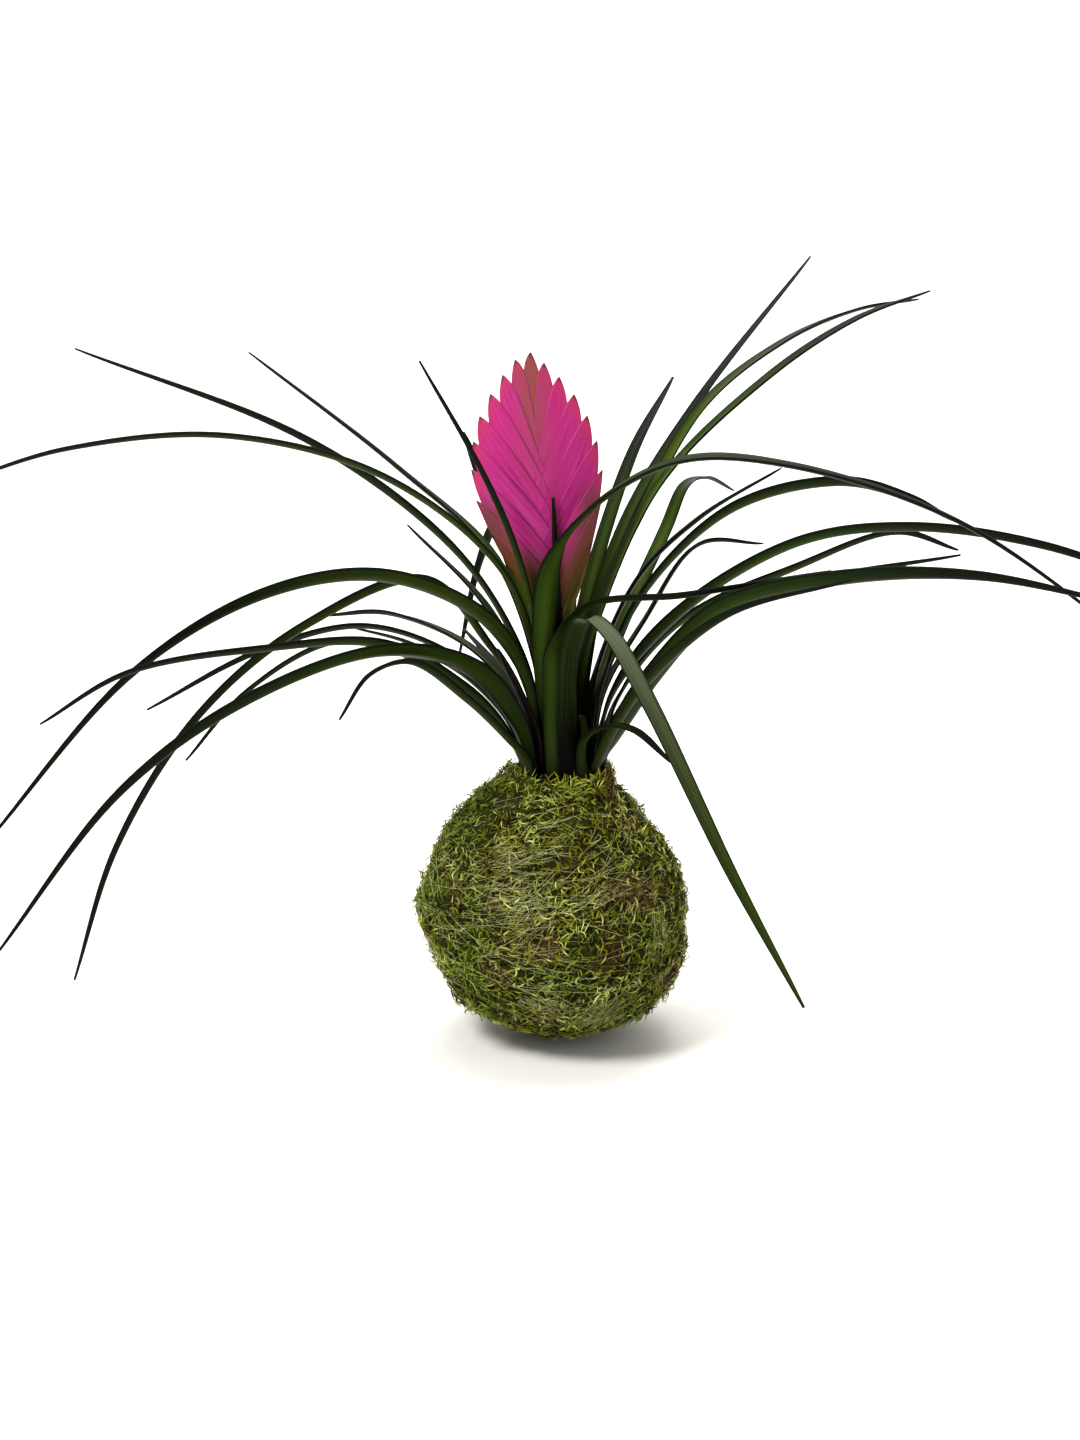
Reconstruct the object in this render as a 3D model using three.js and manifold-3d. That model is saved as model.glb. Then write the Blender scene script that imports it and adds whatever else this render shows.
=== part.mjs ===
// Kokedama: a flowering pink quill plant rooted in a thread-bound ball of moss.
// Millimetres, +Z up. The origin is the middle of the flat spot that the ball rests on.
// The flower's broad face looks along -Y.
import * as THREE from 'three';
import { mergeVertices } from 'three/addons/utils/BufferGeometryUtils.js';
import Module from 'manifold-3d';

const wasm = await Module();
wasm.setup();
const { clamp, degToRad, lerp, mapLinear, smoothstep } = THREE.MathUtils;

const GAP = 0.3; // clearance between pieces that touch

// The soil ball is centred over the flat spot below, and on the plant's own axis above
const PLANT_X = 2;
const PLANT_SWAY = [30, 64]; // heights between which the middle moves over

// Moss jacket: half-width, height and middle of its outline, from the flat spot to the collar
const MOSS_OUTLINE = [
  [9, 0, 0.5], [18, 2.4, 1], [27, 6.5, 1.5], [34.5, 11.5, 1.6], [40.2, 17.5, 1.6],
  [44.6, 25.5, 1.3], [47.5, 34, 0.6], [48.9, 44, -0.4], [47.4, 55, -1.1], [44, 65, -1.5],
  [39.5, 74, -1.9], [32.8, 83, -2.2], [26, 89, -1.9], [21, 93, -0.4], [19.4, 96, 1.4],
  [18.9, 98.5, 2],
];
const MOSS_TOP = MOSS_OUTLINE[MOSS_OUTLINE.length - 1][1];
const MOSS_SIDES = 36;
const MOSS_RINGS = 18;
const COLLAR_BORE = 17.2;

// Hollow of the jacket, which the soil ball fills: half-width and height
const HOLLOW_OUTLINE = [
  [12, 8], [24, 12], [33, 22], [38, 34], [39.5, 46], [37, 60], [31, 72], [24, 82],
];

// Unevenness of the moss: depth, then turns round the ball and slant of two crossed waves
const MOSS_LUMPS = { depth: 0.9, waves: [[3, 0.05], [2, -0.04]] };
const MOSS_DIPS = { depth: 1.2, waves: [[7, 0.19], [4, -0.31]], edge: 8 };

// Soil ball and the short stem that is rooted in it
const SOIL_TOP = 90;
const STEM_HOLE_RADIUS = 5.5;
const STEM_HOLE_BOTTOM = 66;
const STEM_POINT = 8; // height over which the buried end tapers
const STEM_END_SHARE = 0.6;
const CROWN_RADIUS = 16.6; // the disc that the leaves grow from
const CROWN_RIM_TOP = 94.5;
const CROWN_MIDDLE_RADIUS = 4.2;
const CROWN_MIDDLE_TOP = 102;

// Binding thread: middle height, swing up and down, and direction in degrees of each winding
const THREAD_DIAMETER = 0.8;
const THREAD_OUT = 0.98; // from the outline of the moss to the middle of the thread
const THREAD_STEPS = 40;
const THREAD_SIDES = 4;
const THREAD_WINDINGS = [[42, 12, 20], [46, 24, 130], [48, 34, 250], [56, 26, 40]];

// Leaf blades: lengths along a blade are shares of its line
const LEAF_THICKNESS = 0.66;
const LEAF_CHANNEL = 0.13; // depth of the channel along a blade, as a share of its width
const LEAF_STEPS_PER_SPAN = 3;
const LEAF_SETTLE = [0, 0.22]; // where a blade turns from its seat to its heading
const LEAF_ROLL = [0.03, 0.3]; // where a blade rolls about its own line
const LEAF_BASE_SHARE = 0.66; // width at the seat, as a share of the greatest width
const LEAF_BASE_END = 0.3;
const LEAF_TAPER_START = 0.25;
const LEAF_TAPER_POWER = 2.8;
const LEAF_TIP_WIDTH = 1.1;

// Flower: a stalk, then folded bracts in two ranks, numbered from below
const STALK_RADIUS = 3;
const STALK_TOP_SHARE = 0.8;
const STALK_SIDES = 10;
const SPIKE_FOOT = [0.5, 154]; // [across, up]
const SPIKE_LEAN = 6.6; // degrees towards -X
const SPIKE_HALF_WIDTHS = { left: 24, right: 22 };
const SPIKE_WIDEST = 50; // heights above the foot
const SPIKE_TOP = 96.2;
const SPIKE_BLUNTNESS = 2.4; // how full the outline stays towards the top
const SPIKE_TAPER = 55; // from the widest place down to where the outline runs out
const SPIKE_TAPER_POWER = 1.5;
const SPIKE_LEAST_TIP = 0.8; // least distance of a tip from the flower's middle line
const FIRST_TIP = 26.5;
const TIP_SPACING = 6.75;
const TIP_CROWDING = 0.156; // how the spacing of the tips closes up towards the top
const GREEN_BRACTS = [-2, -1, 0, 1];
const PINK_BRACTS = [2, 3, 4, 5, 6, 7, 8, 9, 10, 11, 12, 13, 14, 15, 16];
const BRACT_LENGTH = 33;
const BRACT_LOWEST_SIZE = 0.75; // size of the bracts below the first
const BRACT_OPEN = 22; // from a bract's tip down to where its margin meets the middle
const BRACT_OVERLAP = 1.2; // how far a bract's foot and margin lie past the middle line
const BRACT_TOP_WIDTH = 5; // how much further the topmost bracts reach across the middle
const BRACT_TOP_HEIGHTS = [80, 94];
const BRACT_RINGS = 5;
const BRACT_HALF_DEPTH = 4.2;
const BRACT_FULLNESS = 0.8; // how late a bract thins towards its tip
const BRACT_KEEL = 0.4; // half thickness at the folded outer edge
const BRACT_TIP = 0.8;

// Bulge of a bract's keel: distance from its end, then limits as shares of tip and outline
const KEEL_LOW = { along: 10, ofTip: 0.75, more: 0, ofOutline: 1.1 };
const KEEL_HIGH = { along: 14, ofTip: 1.06, more: 2.4, ofOutline: 1.08 };
const MARGIN_BEND = { along: 9, ofTip: 0.45 };
const BRACT_CHEEK = { share: 0.45, depth: 0.65 }; // corner between the keel and the middle

// Each leaf: where it is seated on the crown (angle, radius), the heading it arches towards,
// its greatest width, its roll about its own line, and its line as [outwards, height] points
// measured from the plant's axis, with a third value where the line also swings sideways
const LEAVES = {
  leaf_left_01: {
    seat: [166, 7.6], turn: 166, width: 8.5, roll: 32,
    line: [[10, 126], [24, 158], [45, 182.5], [94, 214.5], [182, 245]],
  },
  leaf_left_02: {
    seat: [184, 4.6], turn: 176, width: 7, roll: 20,
    line: [[7, 132, -1], [21, 171], [62, 204, 1], [118, 218], [175, 213], [217, 200]],
  },
  leaf_left_03: {
    seat: [156, 6.6], turn: 156, width: 7, roll: 12,
    line: [[10, 136], [26, 174], [64, 204], [125, 243]],
  },
  leaf_left_04: {
    seat: [214, 5.9], turn: 210, width: 5, roll: 0,
    line: [[8.5, 130], [11.6, 154], [18, 178], [30.5, 206], [55.5, 248]],
  },
  leaf_left_05: {
    seat: [141, 9.6], turn: 141, width: 6, roll: 18,
    line: [[14, 122], [34, 153], [73, 180]],
  },
  leaf_left_06: {
    seat: [196, 8.6], turn: 194, width: 9.5, roll: 36,
    line: [[12.4, 131], [28.4, 156], [63, 172], [103, 168.5], [150, 143.5], [205, 84]],
  },
  leaf_left_07: {
    seat: [177, 9.6], turn: 174, width: 7, roll: 29,
    line: [[13, 122], [26, 144], [48, 167], [92, 149.5], [132, 115.5], [165, 64.5], [184, 11]],
  },
  leaf_left_08: {
    seat: [213, 11.6], turn: 210, width: 9.5, roll: 43,
    line: [[18, 118], [36, 140], [70, 150], [120, 139.5], [166, 114.5], [212, 65]],
  },
  leaf_left_09: {
    seat: [199, 12.4], turn: 198, width: 8.5, roll: 28,
    line: [[22, 116], [39, 133], [66, 149], [106, 150.5], [154, 145.5], [184, 130]],
  },
  leaf_left_10: {
    seat: [171, 11.6], turn: 167, width: 7, roll: 25,
    line: [[18, 120], [40, 139], [72, 148], [112, 137], [158, 112]],
  },
  leaf_left_11: {
    seat: [150, 10.6], turn: 149, width: 7, roll: 18,
    line: [[16, 118], [36, 138], [72, 148], [104, 144]],
  },
  leaf_left_12: {
    seat: [174, 12.9], turn: 174, width: 6, roll: 18,
    line: [[20, 117], [44, 138], [80, 144], [114, 125], [138, 98]],
  },
  leaf_left_13: {
    seat: [137, 12.6], turn: 139, width: 6, roll: 18,
    line: [[18, 111], [42, 125], [74, 134], [107, 136]],
  },
  leaf_left_14: {
    seat: [222, 15.2], turn: 210, width: 6.5, roll: 16,
    line: [[16.2, 105], [23, 113], [40, 130], [62, 146], [77, 143.5], [89, 129]],
  },
  leaf_left_15: {
    seat: [218, 9.6], turn: 216, width: 7, roll: 0,
    line: [[13, 116], [20, 132], [28, 147]],
  },
  leaf_left_16: {
    seat: [124, 13.6], turn: 122, width: 4.5, roll: 11,
    line: [[20, 110], [40, 126], [68, 138]],
  },
  leaf_back_01: {
    seat: [114, 7.6], turn: 120, width: 8.5, roll: 0,
    line: [[12, 130], [29, 160], [57, 193], [74, 212]],
  },
  leaf_back_02: {
    seat: [104, 9.6], turn: 106, width: 4.5, roll: 0,
    line: [[16, 122], [42, 153], [76, 176, 3], [90, 158, 7], [102, 120, 12]],
  },
  leaf_back_03: {
    seat: [88, 14.6], turn: 86, width: 7, roll: 0,
    line: [[20, 116], [48, 150], [92, 168], [140, 148]],
  },
  leaf_right_01: {
    seat: [52, 7.6], turn: 52, width: 7.5, roll: -14,
    line: [[12.5, 127], [20, 153], [40, 185], [81, 221], [161, 273]],
  },
  leaf_right_02: {
    seat: [26, 5.2], turn: 26.5, width: 7.5, roll: -6,
    line: [[8.5, 132], [15, 154], [39.5, 199.5], [84, 235.5], [121, 254.8], [153.5, 264]],
  },
  leaf_right_03: {
    seat: [41, 6.6], turn: 41, width: 7, roll: -14,
    line: [
      [10.6, 130], [18, 156], [36, 184], [68, 223], [110, 244.4], [150, 254.3], [187.5, 256.6],
    ],
  },
  leaf_right_04: {
    seat: [70, 9.6], turn: 67, width: 6.5, roll: 0,
    line: [[14.6, 127], [25, 155], [69, 202], [115, 228]],
  },
  leaf_right_05: {
    seat: [264, 6.6], turn: -12, width: 9, roll: 0, settle: [0.2, 0.5],
    line: [
      [-4, 136, -3], [-4, 154, -4], [0, 178, -4], [13, 196, -4], [43, 213, -4], [79, 213, -4],
      [138, 195.6, -4], [206, 151, -4],
    ],
  },
  leaf_right_06: {
    seat: [33, 9.6], turn: 33, width: 7, roll: -28,
    line: [[15, 132], [33, 165], [61, 185], [98, 200]],
  },
  leaf_right_07: {
    seat: [64, 10.6], turn: 62, width: 5.5, roll: 0,
    line: [[20, 112], [51, 143], [88, 173], [104, 187], [124, 188], [152, 179]],
  },
  leaf_right_08: {
    seat: [20, 10.6], turn: 22, width: 8.5, roll: -38,
    line: [[15, 127], [32, 161], [66, 189], [110, 196.5], [140, 188.8], [160, 179]],
  },
  leaf_right_09: {
    seat: [32, 12.6], turn: 31, width: 6, roll: -24,
    line: [[18, 124], [36, 150], [58, 175], [88, 173]],
  },
  leaf_right_10: {
    seat: [4, 11.9], turn: 6, width: 9.5, roll: -34,
    line: [[18, 125], [41, 154], [84, 179.5], [124, 184.5], [175, 176.8], [228, 158]],
  },
  leaf_right_11: {
    seat: [18, 13.6], turn: 18, width: 7, roll: -35,
    line: [[22, 124], [46, 150], [90, 167], [130, 178], [156, 170]],
  },
  leaf_right_12: {
    seat: [4, 14.6], turn: 2, width: 8, roll: -32,
    line: [[20, 114], [45, 148], [87, 166], [142, 176]],
  },
  leaf_right_13: {
    seat: [257, 11.6], turn: -8, width: 7.5, roll: -25, settle: [0.15, 0.6],
    line: [[-2, 125], [0, 146], [11, 161], [45, 166], [95, 176]],
  },
  leaf_right_14: {
    seat: [-23, 12.6], turn: -20, width: 9.5, roll: -43,
    line: [[19, 110], [33, 134], [59, 162], [100, 175], [147, 179], [200, 172]],
  },
  leaf_right_15: {
    seat: [280, 14.2], turn: -48, width: 9.5, roll: 0,
    line: [[12, 125], [14, 146], [21, 158.5], [32, 155], [52, 134], [92, 83], [126, 45]],
  },
  leaf_right_16: {
    seat: [300, 15.6], turn: -42, width: 6, roll: 0,
    line: [[15, 112], [24, 119.5], [38, 120.5], [55, 112]],
  },
  leaf_right_17: {
    seat: [-42, 14.4], turn: -37, width: 5.5, roll: -25,
    line: [[19.2, 109], [34, 132.5], [69, 163.5], [118, 182]],
  },
  leaf_right_18: {
    seat: [-51, 11.8], turn: -52, width: 3, roll: 0,
    line: [[12.6, 108], [13.2, 116], [11.4, 120.5], [9.2, 118.5]],
  },
  leaf_front_01: {
    seat: [306, 4.6], turn: 265, width: 3, roll: 0,
    line: [[4.5, 135, -2], [5.6, 165, -4], [6.4, 198.5, -5.4]],
  },
};

// A closed body from vertices [x, y, z] and triangles [a, b, c]
function bodyOf(points, faces) {
  const geometry = new THREE.BufferGeometry();
  geometry.setAttribute('position', new THREE.Float32BufferAttribute(points.flat(), 3));
  geometry.setIndex(faces.flat());
  return geometry;
}

// Faces of a skin stretched over closed rings of equally many points
function skinFaces(rings, count) {
  const faces = [];
  for (let ring = 0; ring < rings - 1; ring += 1) {
    for (let k = 0; k < count; k += 1) {
      const a = ring * count + k;
      const b = ring * count + ((k + 1) % count);
      faces.push([a, b, b + count], [a, b + count, a + count]);
    }
  }
  return faces;
}

// Faces of a body over rings of six points, closed at both ends
function bladeFaces(rings) {
  const start = [[0, 5, 1], [5, 4, 1], [1, 4, 2], [4, 3, 2]];
  const last = (rings - 1) * 6;
  const end = start.map(([a, b, c]) => [last + a, last + c, last + b]);
  return [...skinFaces(rings, 6), ...start, ...end];
}

function toSolid(geometry) {
  const bare = geometry.clone();
  bare.deleteAttribute('normal');
  bare.deleteAttribute('uv');
  const merged = mergeVertices(bare, 1e-5);
  const vertProperties = Float32Array.from(merged.attributes.position.array);
  const triVerts = Uint32Array.from(merged.index.array);
  return new wasm.Manifold(new wasm.Mesh({ numProp: 3, vertProperties, triVerts }));
}

function fromSolid(solid) {
  const mesh = solid.getMesh();
  const positions = Array.from(mesh.vertProperties);
  const geometry = new THREE.BufferGeometry();
  geometry.setAttribute('position', new THREE.Float32BufferAttribute(positions, 3));
  geometry.setIndex(Array.from(mesh.triVerts));
  return geometry;
}

function joined(solids) {
  return solids.reduce((whole, next) => whole.add(next));
}

// Leaves
function leafWidth(t, width) {
  const base = lerp(LEAF_BASE_SHARE, 1, Math.min(1, t / LEAF_BASE_END));
  const along = Math.max(0, t - LEAF_TAPER_START) / (1 - LEAF_TAPER_START);
  const taper = 1 - along ** LEAF_TAPER_POWER;
  return LEAF_TIP_WIDTH + (width - LEAF_TIP_WIDTH) * Math.min(base, taper);
}

function crownHeight(radius) {
  const share = (radius - CROWN_MIDDLE_RADIUS) / (CROWN_RADIUS - CROWN_MIDDLE_RADIUS);
  return lerp(CROWN_MIDDLE_TOP, CROWN_RIM_TOP, Math.max(0, share));
}

function levelAcross(angle) {
  return new THREE.Vector3(-Math.sin(angle), Math.cos(angle), 0);
}

// The line of a leaf from its seat on the crown to its tip
function leafCurve(seat, radius, turn, line) {
  const heading = new THREE.Vector3(Math.cos(turn), Math.sin(turn), 0);
  const across = levelAcross(turn);
  const seatOut = radius * Math.cos(seat - turn);
  const seatSide = radius * Math.sin(seat - turn);
  const place = ([out, height, side = 0]) => new THREE.Vector3(PLANT_X, 0, height)
    .addScaledVector(heading, out)
    .addScaledVector(across, seatSide + side);
  const foot = [seatOut, crownHeight(radius) + GAP];
  return new THREE.CatmullRomCurve3([foot, ...line].map(place), false, 'centripetal');
}

// Six corners of a channelled blade: its outer face and then its inner face
function bladeSection(centre, across, inward, width, depth) {
  const half = LEAF_THICKNESS / 2;
  const edge = depth / 2;
  const corners = [
    [-1, edge - half], [0, -edge - half], [1, edge - half],
    [1, edge + half], [0, half - edge], [-1, edge + half],
  ];
  return corners.map(([side, lift]) => centre.clone()
    .addScaledVector(across, (side * width) / 2)
    .addScaledVector(inward, lift)
    .toArray());
}

function leafGeometry(leaf) {
  const [seatDegrees, radius] = leaf.seat;
  const seat = degToRad(seatDegrees);
  const turn = degToRad(leaf.turn);
  const curve = leafCurve(seat, radius, turn, leaf.line);
  const steps = leaf.line.length * LEAF_STEPS_PER_SPAN;
  const points = [];
  for (let step = 0; step <= steps; step += 1) {
    const t = step / steps;
    const settled = smoothstep(t, ...(leaf.settle ?? LEAF_SETTLE));
    const tangent = step === 0 ? new THREE.Vector3(0, 0, 1) : curve.getTangent(t);
    const across = levelAcross(seat).lerp(levelAcross(turn), settled);
    across.addScaledVector(tangent, -across.dot(tangent)).normalize();
    across.applyAxisAngle(tangent, degToRad(leaf.roll) * smoothstep(t, ...LEAF_ROLL));
    const inward = new THREE.Vector3().crossVectors(tangent, across);
    const width = leafWidth(t, leaf.width);
    const depth = lerp((width * width) / (8 * radius), LEAF_CHANNEL * width, settled);
    points.push(...bladeSection(curve.getPoint(t), across, inward, width, depth));
  }
  return bodyOf(points, bladeFaces(steps + 1));
}

// Moss jacket and what it holds
function crossedWaves(waves, angle, height) {
  const [[turns, slant], [otherTurns, otherSlant]] = waves;
  return Math.sin(turns * angle + slant * height) * Math.cos(otherTurns * angle + otherSlant * height);
}

// Half-width and middle of the ball at a height
function mossOutline(height) {
  const above = Math.max(1, MOSS_OUTLINE.findIndex(([, level]) => level >= height));
  const [lowRadius, low, lowMiddle] = MOSS_OUTLINE[above - 1];
  const [highRadius, high, highMiddle] = MOSS_OUTLINE[above];
  const share = mapLinear(height, low, high, 0, 1);
  return [lerp(lowRadius, highRadius, share), lerp(lowMiddle, highMiddle, share)];
}

// Reach of the ball on one side, before the dips between its cushions of moss
function mossRadius(angle, height) {
  const fade = Math.sin(Math.PI * clamp(height / MOSS_TOP, 0, 1));
  const lump = MOSS_LUMPS.depth * fade * crossedWaves(MOSS_LUMPS.waves, angle, height);
  return mossOutline(height)[0] + lump;
}

function mossDip(angle, height) {
  const fade = Math.min(1, height / MOSS_DIPS.edge, (MOSS_TOP - height) / MOSS_DIPS.edge);
  return MOSS_DIPS.depth * fade * (0.5 + 0.5 * crossedWaves(MOSS_DIPS.waves, angle, height));
}

function sway(height) {
  return PLANT_X * smoothstep(height, ...PLANT_SWAY);
}

// Turns rings of [radius, height, middle], which start and end on the axis, into a closed body.
// A radius may be a function of the angle.
function revolved(rings, sides) {
  const [, bottom, bottomMiddle = sway(bottom)] = rings[0];
  const points = [[bottomMiddle, 0, bottom]];
  for (const [radius, height, middle = sway(height)] of rings.slice(1, -1)) {
    for (let k = 0; k < sides; k += 1) {
      const angle = (2 * Math.PI * k) / sides;
      const r = typeof radius === 'function' ? radius(angle) : radius;
      points.push([middle + r * Math.cos(angle), r * Math.sin(angle), height]);
    }
  }
  const [, top, topMiddle = sway(top)] = rings[rings.length - 1];
  points.push([topMiddle, 0, top]);
  const last = points.length - 1;
  const faces = skinFaces(rings.length - 2, sides).map((face) => face.map((corner) => corner + 1));
  for (let k = 0; k < sides; k += 1) {
    const next = (k + 1) % sides;
    faces.push([0, 1 + next, 1 + k], [last, last - sides + k, last - sides + next]);
  }
  return bodyOf(points, faces);
}

function mossGeometry() {
  const rings = [[0, 0, 0]];
  for (let ring = 0; ring <= MOSS_RINGS; ring += 1) {
    const height = (MOSS_TOP * (1 - Math.cos((Math.PI * ring) / MOSS_RINGS))) / 2;
    const reach = (angle) => mossRadius(angle, height) - mossDip(angle, height);
    rings.push([reach, height, mossOutline(height)[1]]);
  }
  const hollow = [[0, HOLLOW_OUTLINE[0][1]], ...HOLLOW_OUTLINE, [COLLAR_BORE, SOIL_TOP]];
  rings.push([COLLAR_BORE, MOSS_TOP], ...hollow.reverse());
  return revolved(rings, MOSS_SIDES);
}

function soilGeometry() {
  const sides = HOLLOW_OUTLINE.map(([radius, height]) => [radius - GAP, height + GAP]);
  return revolved([
    [0, sides[0][1]], ...sides, [COLLAR_BORE - GAP, SOIL_TOP],
    [STEM_HOLE_RADIUS, SOIL_TOP], [STEM_HOLE_RADIUS, STEM_HOLE_BOTTOM], [0, STEM_HOLE_BOTTOM],
  ], MOSS_SIDES);
}

function stemGeometry() {
  const root = STEM_HOLE_RADIUS - GAP;
  const bottom = STEM_HOLE_BOTTOM + GAP;
  const seat = SOIL_TOP + GAP;
  return revolved([
    [0, bottom], [root * STEM_END_SHARE, bottom], [root, bottom + STEM_POINT], [root, seat],
    [CROWN_RADIUS, seat], [CROWN_RADIUS, CROWN_RIM_TOP],
    [CROWN_MIDDLE_RADIUS, CROWN_MIDDLE_TOP], [0, CROWN_MIDDLE_TOP],
  ], MOSS_SIDES);
}

// One closed winding of the thread round the ball
function windingSolid([middle, swing, direction]) {
  const half = THREAD_DIAMETER / 2;
  const points = [];
  for (let step = 0; step < THREAD_STEPS; step += 1) {
    const angle = (2 * Math.PI * step) / THREAD_STEPS;
    const height = middle + swing * Math.sin(angle - degToRad(direction));
    const radius = mossRadius(angle, height) + THREAD_OUT;
    for (let k = 0; k < THREAD_SIDES; k += 1) {
      const turn = (2 * Math.PI * k) / THREAD_SIDES;
      const r = radius + half * Math.cos(turn);
      const x = mossOutline(height)[1] + r * Math.cos(angle);
      points.push([x, r * Math.sin(angle), height + half * Math.sin(turn)]);
    }
  }
  const open = skinFaces(THREAD_STEPS + 1, THREAD_SIDES);
  const faces = open.map(([a, b, c]) => [c, b, a].map((corner) => corner % points.length));
  return toSolid(bodyOf(points, faces));
}

function threadGeometry() {
  return fromSolid(joined(THREAD_WINDINGS.map(windingSolid)));
}

// Flower, laid out in its own plane with the foot at (0, 0)
function spikeHalfWidth(side, height) {
  const widest = side > 0 ? SPIKE_HALF_WIDTHS.right : SPIKE_HALF_WIDTHS.left;
  if (height > SPIKE_WIDEST) {
    const up = (height - SPIKE_WIDEST) / (SPIKE_TOP - SPIKE_WIDEST);
    return widest * (1 - up ** SPIKE_BLUNTNESS);
  }
  const down = (SPIKE_WIDEST - height) / SPIKE_TAPER;
  return widest * Math.max(0, 1 - down ** SPIKE_TAPER_POWER);
}

function keelBulge(bulge, tipSide, side, height) {
  const outline = Math.max(1, spikeHalfWidth(side, height));
  return Math.min(bulge.ofTip * tipSide + bulge.more, bulge.ofOutline * outline);
}

// Keel and margin of a bract, both grown outwards by the same amount on all sides
function bractEdges(side, top, size, grow) {
  const tipSide = Math.max(SPIKE_LEAST_TIP, spikeHalfWidth(side, top));
  const wide = BRACT_TOP_WIDTH * smoothstep(top, ...BRACT_TOP_HEIGHTS);
  const foot = top - BRACT_LENGTH * size;
  const low = foot + KEEL_LOW.along * size;
  const high = top - KEEL_HIGH.along * size;
  const at = (across, height) => new THREE.Vector2(side * across, height);
  const keel = new THREE.CubicBezierCurve(
    at(BRACT_OVERLAP + grow, foot),
    at(keelBulge(KEEL_LOW, tipSide, side, low) + grow, low),
    at(keelBulge(KEEL_HIGH, tipSide, side, high) + wide / 4 + grow, high),
    at(tipSide + grow, top + grow),
  );
  const margin = new THREE.QuadraticBezierCurve(
    at(-BRACT_OVERLAP - wide - grow, top - BRACT_OPEN * size + wide + grow),
    at(MARGIN_BEND.ofTip * tipSide - wide / 2 - grow, top - MARGIN_BEND.along * size + grow),
    at(tipSide - BRACT_TIP - grow, top + grow),
  );
  return { keel, margin };
}

function leaning(flat, depth) {
  const lean = degToRad(-SPIKE_LEAN);
  const x = SPIKE_FOOT[0] + flat.x * Math.cos(lean) + flat.y * Math.sin(lean);
  const z = SPIKE_FOOT[1] + flat.y * Math.cos(lean) - flat.x * Math.sin(lean);
  return [x, depth, z];
}

// One folded bract: thin at the keel on its outer edge, full at its margin near the middle
function bractSolid(index, grow = 0) {
  const side = index % 2 === 0 ? 1 : -1;
  const size = index < 0 ? BRACT_LOWEST_SIZE : 1;
  const top = FIRST_TIP + TIP_SPACING * index - TIP_CROWDING * index * index;
  const { keel, margin } = bractEdges(side, top, size, grow);
  const points = [];
  for (let ring = 0; ring <= BRACT_RINGS; ring += 1) {
    const t = ring / BRACT_RINGS;
    const full = (BRACT_HALF_DEPTH - BRACT_KEEL) * (1 - t) ** BRACT_FULLNESS * size;
    const cheek = BRACT_KEEL + grow + full * BRACT_CHEEK.depth;
    const deep = BRACT_KEEL + grow + full;
    const section = [
      [0, BRACT_KEEL + grow], [BRACT_CHEEK.share, cheek], [1, deep],
      [1, -deep], [BRACT_CHEEK.share, -cheek], [0, -BRACT_KEEL - grow],
    ];
    for (const [share, depth] of section) {
      points.push(leaning(keel.getPoint(t).lerp(margin.getPoint(t), share), depth));
    }
  }
  const faces = bladeFaces(BRACT_RINGS + 1);
  const facingOut = side > 0 ? faces : faces.map(([a, b, c]) => [c, b, a]);
  return toSolid(bodyOf(points, facingOut));
}

function stalkGeometry() {
  const foot = new THREE.Vector3(PLANT_X, 0, CROWN_MIDDLE_TOP + GAP);
  const top = new THREE.Vector3(SPIKE_FOOT[0], 0, SPIKE_FOOT[1]);
  const along = top.clone().sub(foot);
  const topRadius = STALK_RADIUS * STALK_TOP_SHARE;
  const stalk = new THREE.CylinderGeometry(topRadius, STALK_RADIUS, along.length(), STALK_SIDES);
  stalk.rotateX(Math.PI / 2);
  stalk.rotateY(Math.atan2(along.x, along.z));
  stalk.translate(...foot.add(top).multiplyScalar(0.5).toArray());
  return fromSolid(joined([toSolid(stalk), ...GREEN_BRACTS.map((index) => bractSolid(index))]));
}

// The pink bracts, less the room that the green ones take up below them
function spikeGeometry() {
  const bracts = joined(PINK_BRACTS.map((index) => bractSolid(index)));
  const sheath = joined(GREEN_BRACTS.map((index) => bractSolid(index, GAP)));
  const bodies = bracts.subtract(sheath).decompose();
  bodies.sort((a, b) => b.volume() - a.volume());
  return fromSolid(bodies[0]);
}

const MATERIALS = {
  leaf: { color: 0x26401d, roughness: 0.45 },
  moss: { color: 0x6f7a2a, roughness: 0.95 },
  soil: { color: 0x2d2119, roughness: 1 },
  thread: { color: 0xd6d6bd, roughness: 0.7 },
  stem: { color: 0x4b3a2a, roughness: 0.8 },
  stalk: { color: 0x6d5a25, roughness: 0.6 },
  bract: { color: 0xc72f86, roughness: 0.5 },
};

function piece(name, geometry, look) {
  const material = new THREE.MeshStandardMaterial({ ...MATERIALS[look], metalness: 0 });
  const mesh = new THREE.Mesh(geometry, material);
  mesh.name = name;
  return mesh;
}

const plant = new THREE.Group();
plant.add(piece('moss_jacket', mossGeometry(), 'moss'));
plant.add(piece('soil_ball', soilGeometry(), 'soil'));
plant.add(piece('binding_thread', threadGeometry(), 'thread'));
plant.add(piece('stem', stemGeometry(), 'stem'));
plant.add(piece('flower_stalk', stalkGeometry(), 'stalk'));
plant.add(piece('flower_spike', spikeGeometry(), 'bract'));
for (const [name, leaf] of Object.entries(LEAVES)) {
  plant.add(piece(name, leafGeometry(leaf), 'leaf'));
}

export default plant;
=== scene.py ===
# Looks of a kokedama: a flowering pink quill plant in a thread-bound ball of moss.
# Sizes are in millimetres in the functions and become metres when a mesh is made.
import math

import bpy
import numpy as np
from mathutils import Matrix, Vector


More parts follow.
